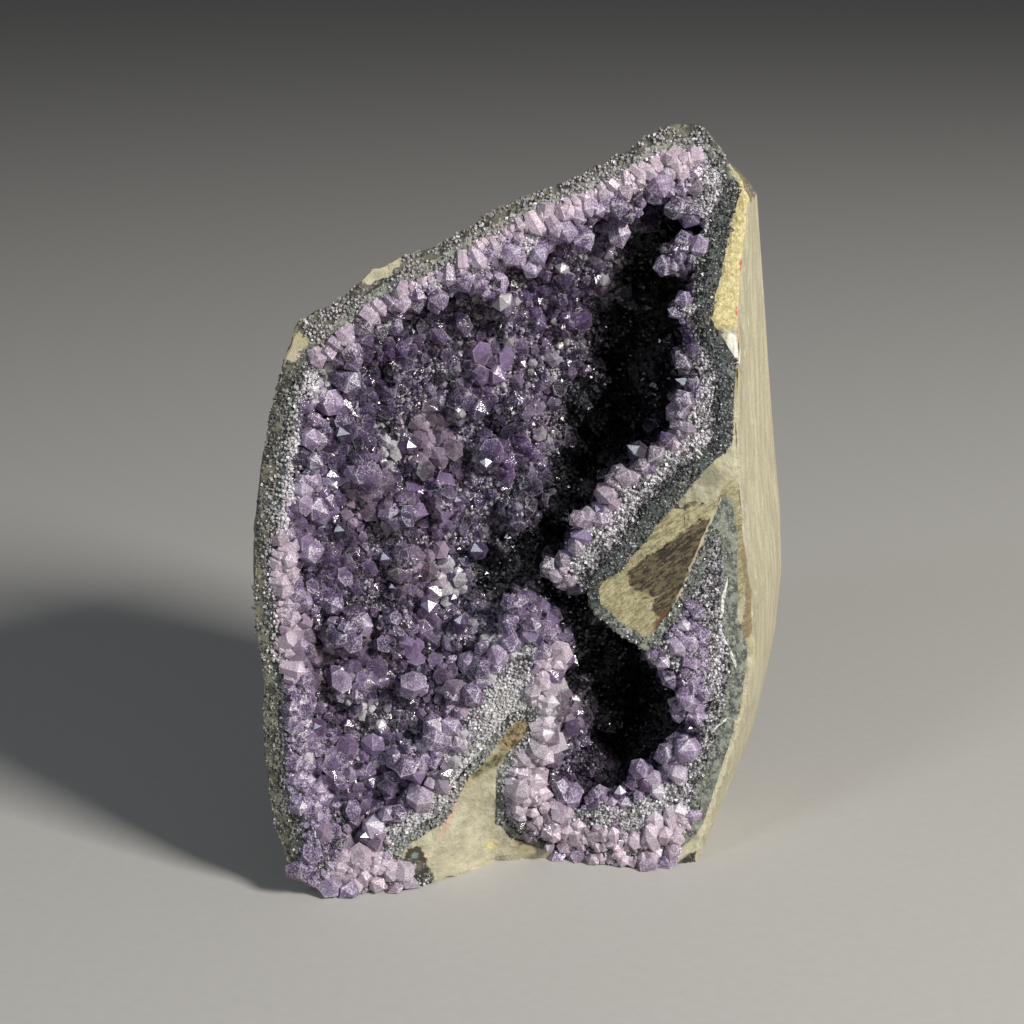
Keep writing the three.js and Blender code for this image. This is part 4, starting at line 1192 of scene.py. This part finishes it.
inwards_at = -to_rind  # from each point of the surface into the hollow
beside_lines = smooth_step(np.abs(from_lines).min(axis=0), 0.4, 0.9)
seats = scatter(CUT_GRAIN["tries"], band * open_side * (1 - smooth_strip) * beside_lines)
beyond = at(seats, past_border)
light = 0.4 * smooth_step(beyond, 0, 4) + 0.42 * smooth_step(beyond, -0.9, 0.4) - 0.54
grains_on_break("quartz_grains", seats, light)
violet_edge = within(from_path(points, VIOLET_EDGE), 5, 9)
violet_lobe = within(from_path(points, VIOLET_LOBE) - 0.8 * lumps(points, 5), 1.8, 3.4)
fringe = band * open_side * bell(from_rind - 4.0, 2.8) * (past_border > 0.8)
fringe *= np.maximum(pale_near_break(points), violet_edge)
fringe = np.maximum(fringe, 0.7 * (violet_lobe * band * open_side))
fringe *= 0.2 + 0.8 * smooth_step(lumps(points, 6), -0.6, 0.1)
across_break("amethyst_fringe", FRINGE, fringe)
spur_side = within(from_path(points, SPUR_SIDE), 4, 7)
edge_weight = (0.5 + pale_near_break(points) + 2 * spur_side) * open_side * (band < 0.4) * (from_rind > 4)
edge_weight *= bell(depth - 1.5, 2.4) * smooth_step(past_border, 1, 3)
edge_weight *= smooth_step(from_path(points, PIT), 3, 6)
across_break("amethyst_points_edge", EDGE_POINTS, edge_weight)


# The same grains and points on the break of the rind and of the thin rock outside it, where they hide most
# of the line between the crust and the rind, and reach the outline at the left, at the top and at the foot
RIM_TRIES = 11500
RIM_POINTS = {"tries": 2200, "least": 0.8, "most": 3.4, "small": 1.6, "room": 1.0, "shaft": (0.0, 0.7),
              "forward": 0.9, "lean": 0.35, "pale": 1.1}
CRUSTED_RIMS = [[(-50, 8), (-48, 2), (-41, 0), (-37, 0)], [(4, 4), (12, 1), (22, 0), (34, 0)]]
FULL_COVER = 138  # above this height the grains on the rock stand twice as close

rock_points, rind_points = points_of(basalt), points_of(rind)
points = np.vstack([rock_points, rind_points])
triangles = np.vstack([triangles_of(basalt), triangles_of(rind) + len(rock_points)])
facing = -np.concatenate([normals_of(basalt)[:, 1], normals_of(rind)[:, 1]])
on_rock = np.arange(len(points)) < len(rock_points)
near_rim = past_rims(points)
crusted = within(from_paths(points, CRUSTED_RIMS), 4, 8)
at_break = smooth_step(facing, 0.05, 0.35) * bell(behind_face(points), 2.0)
bare = within(from_paths(points, BEIGE_EDGES), 2.5, 5)
patchy = smooth_step(lumps(points, 4) + 0.6 * lumps(points, 1.8), -0.4, 0.2)
rock_cover = within(near_rim, -2.5, 0.5) * (1 - bare) * (0.08 + 0.92 * patchy)
rock_cover *= np.where(points[:, 2] < FULL_COVER, 0.5, 1)
greyish = within(from_paths(points, PALE_RINDS), 4, 8)
near_dark = from_paths(points, [path for _, path in DARK_BORDERS])
beside_strip = within(from_path(points, SMOOTH_EDGE), 5, 7)
cover = at_break * (1 - 0.6 * within(near_dark, 3, 7)) * np.where(on_rock, rock_cover, 0.35 + 0.65 * patchy)
cover = cover * (1 - beside_strip)
inwards_at, _ = nearest_on(tree_of("amethyst_crust"), points)
seats = scatter(RIM_TRIES, cover)
dark_rind = within(at(seats, near_dark), 3, 7)
light = 0.42 * at(seats, crusted) + 0.1 * within(at(seats, near_rim), -2, 1)
light = light + 0.2 * at(seats, greyish) - 0.3 - 0.3 * dark_rind
grains_on_break("quartz_rim_grains", seats, light, 0.45)
across_break("amethyst_rim_points", RIM_POINTS, at_break * crusted * (near_rim < 0))
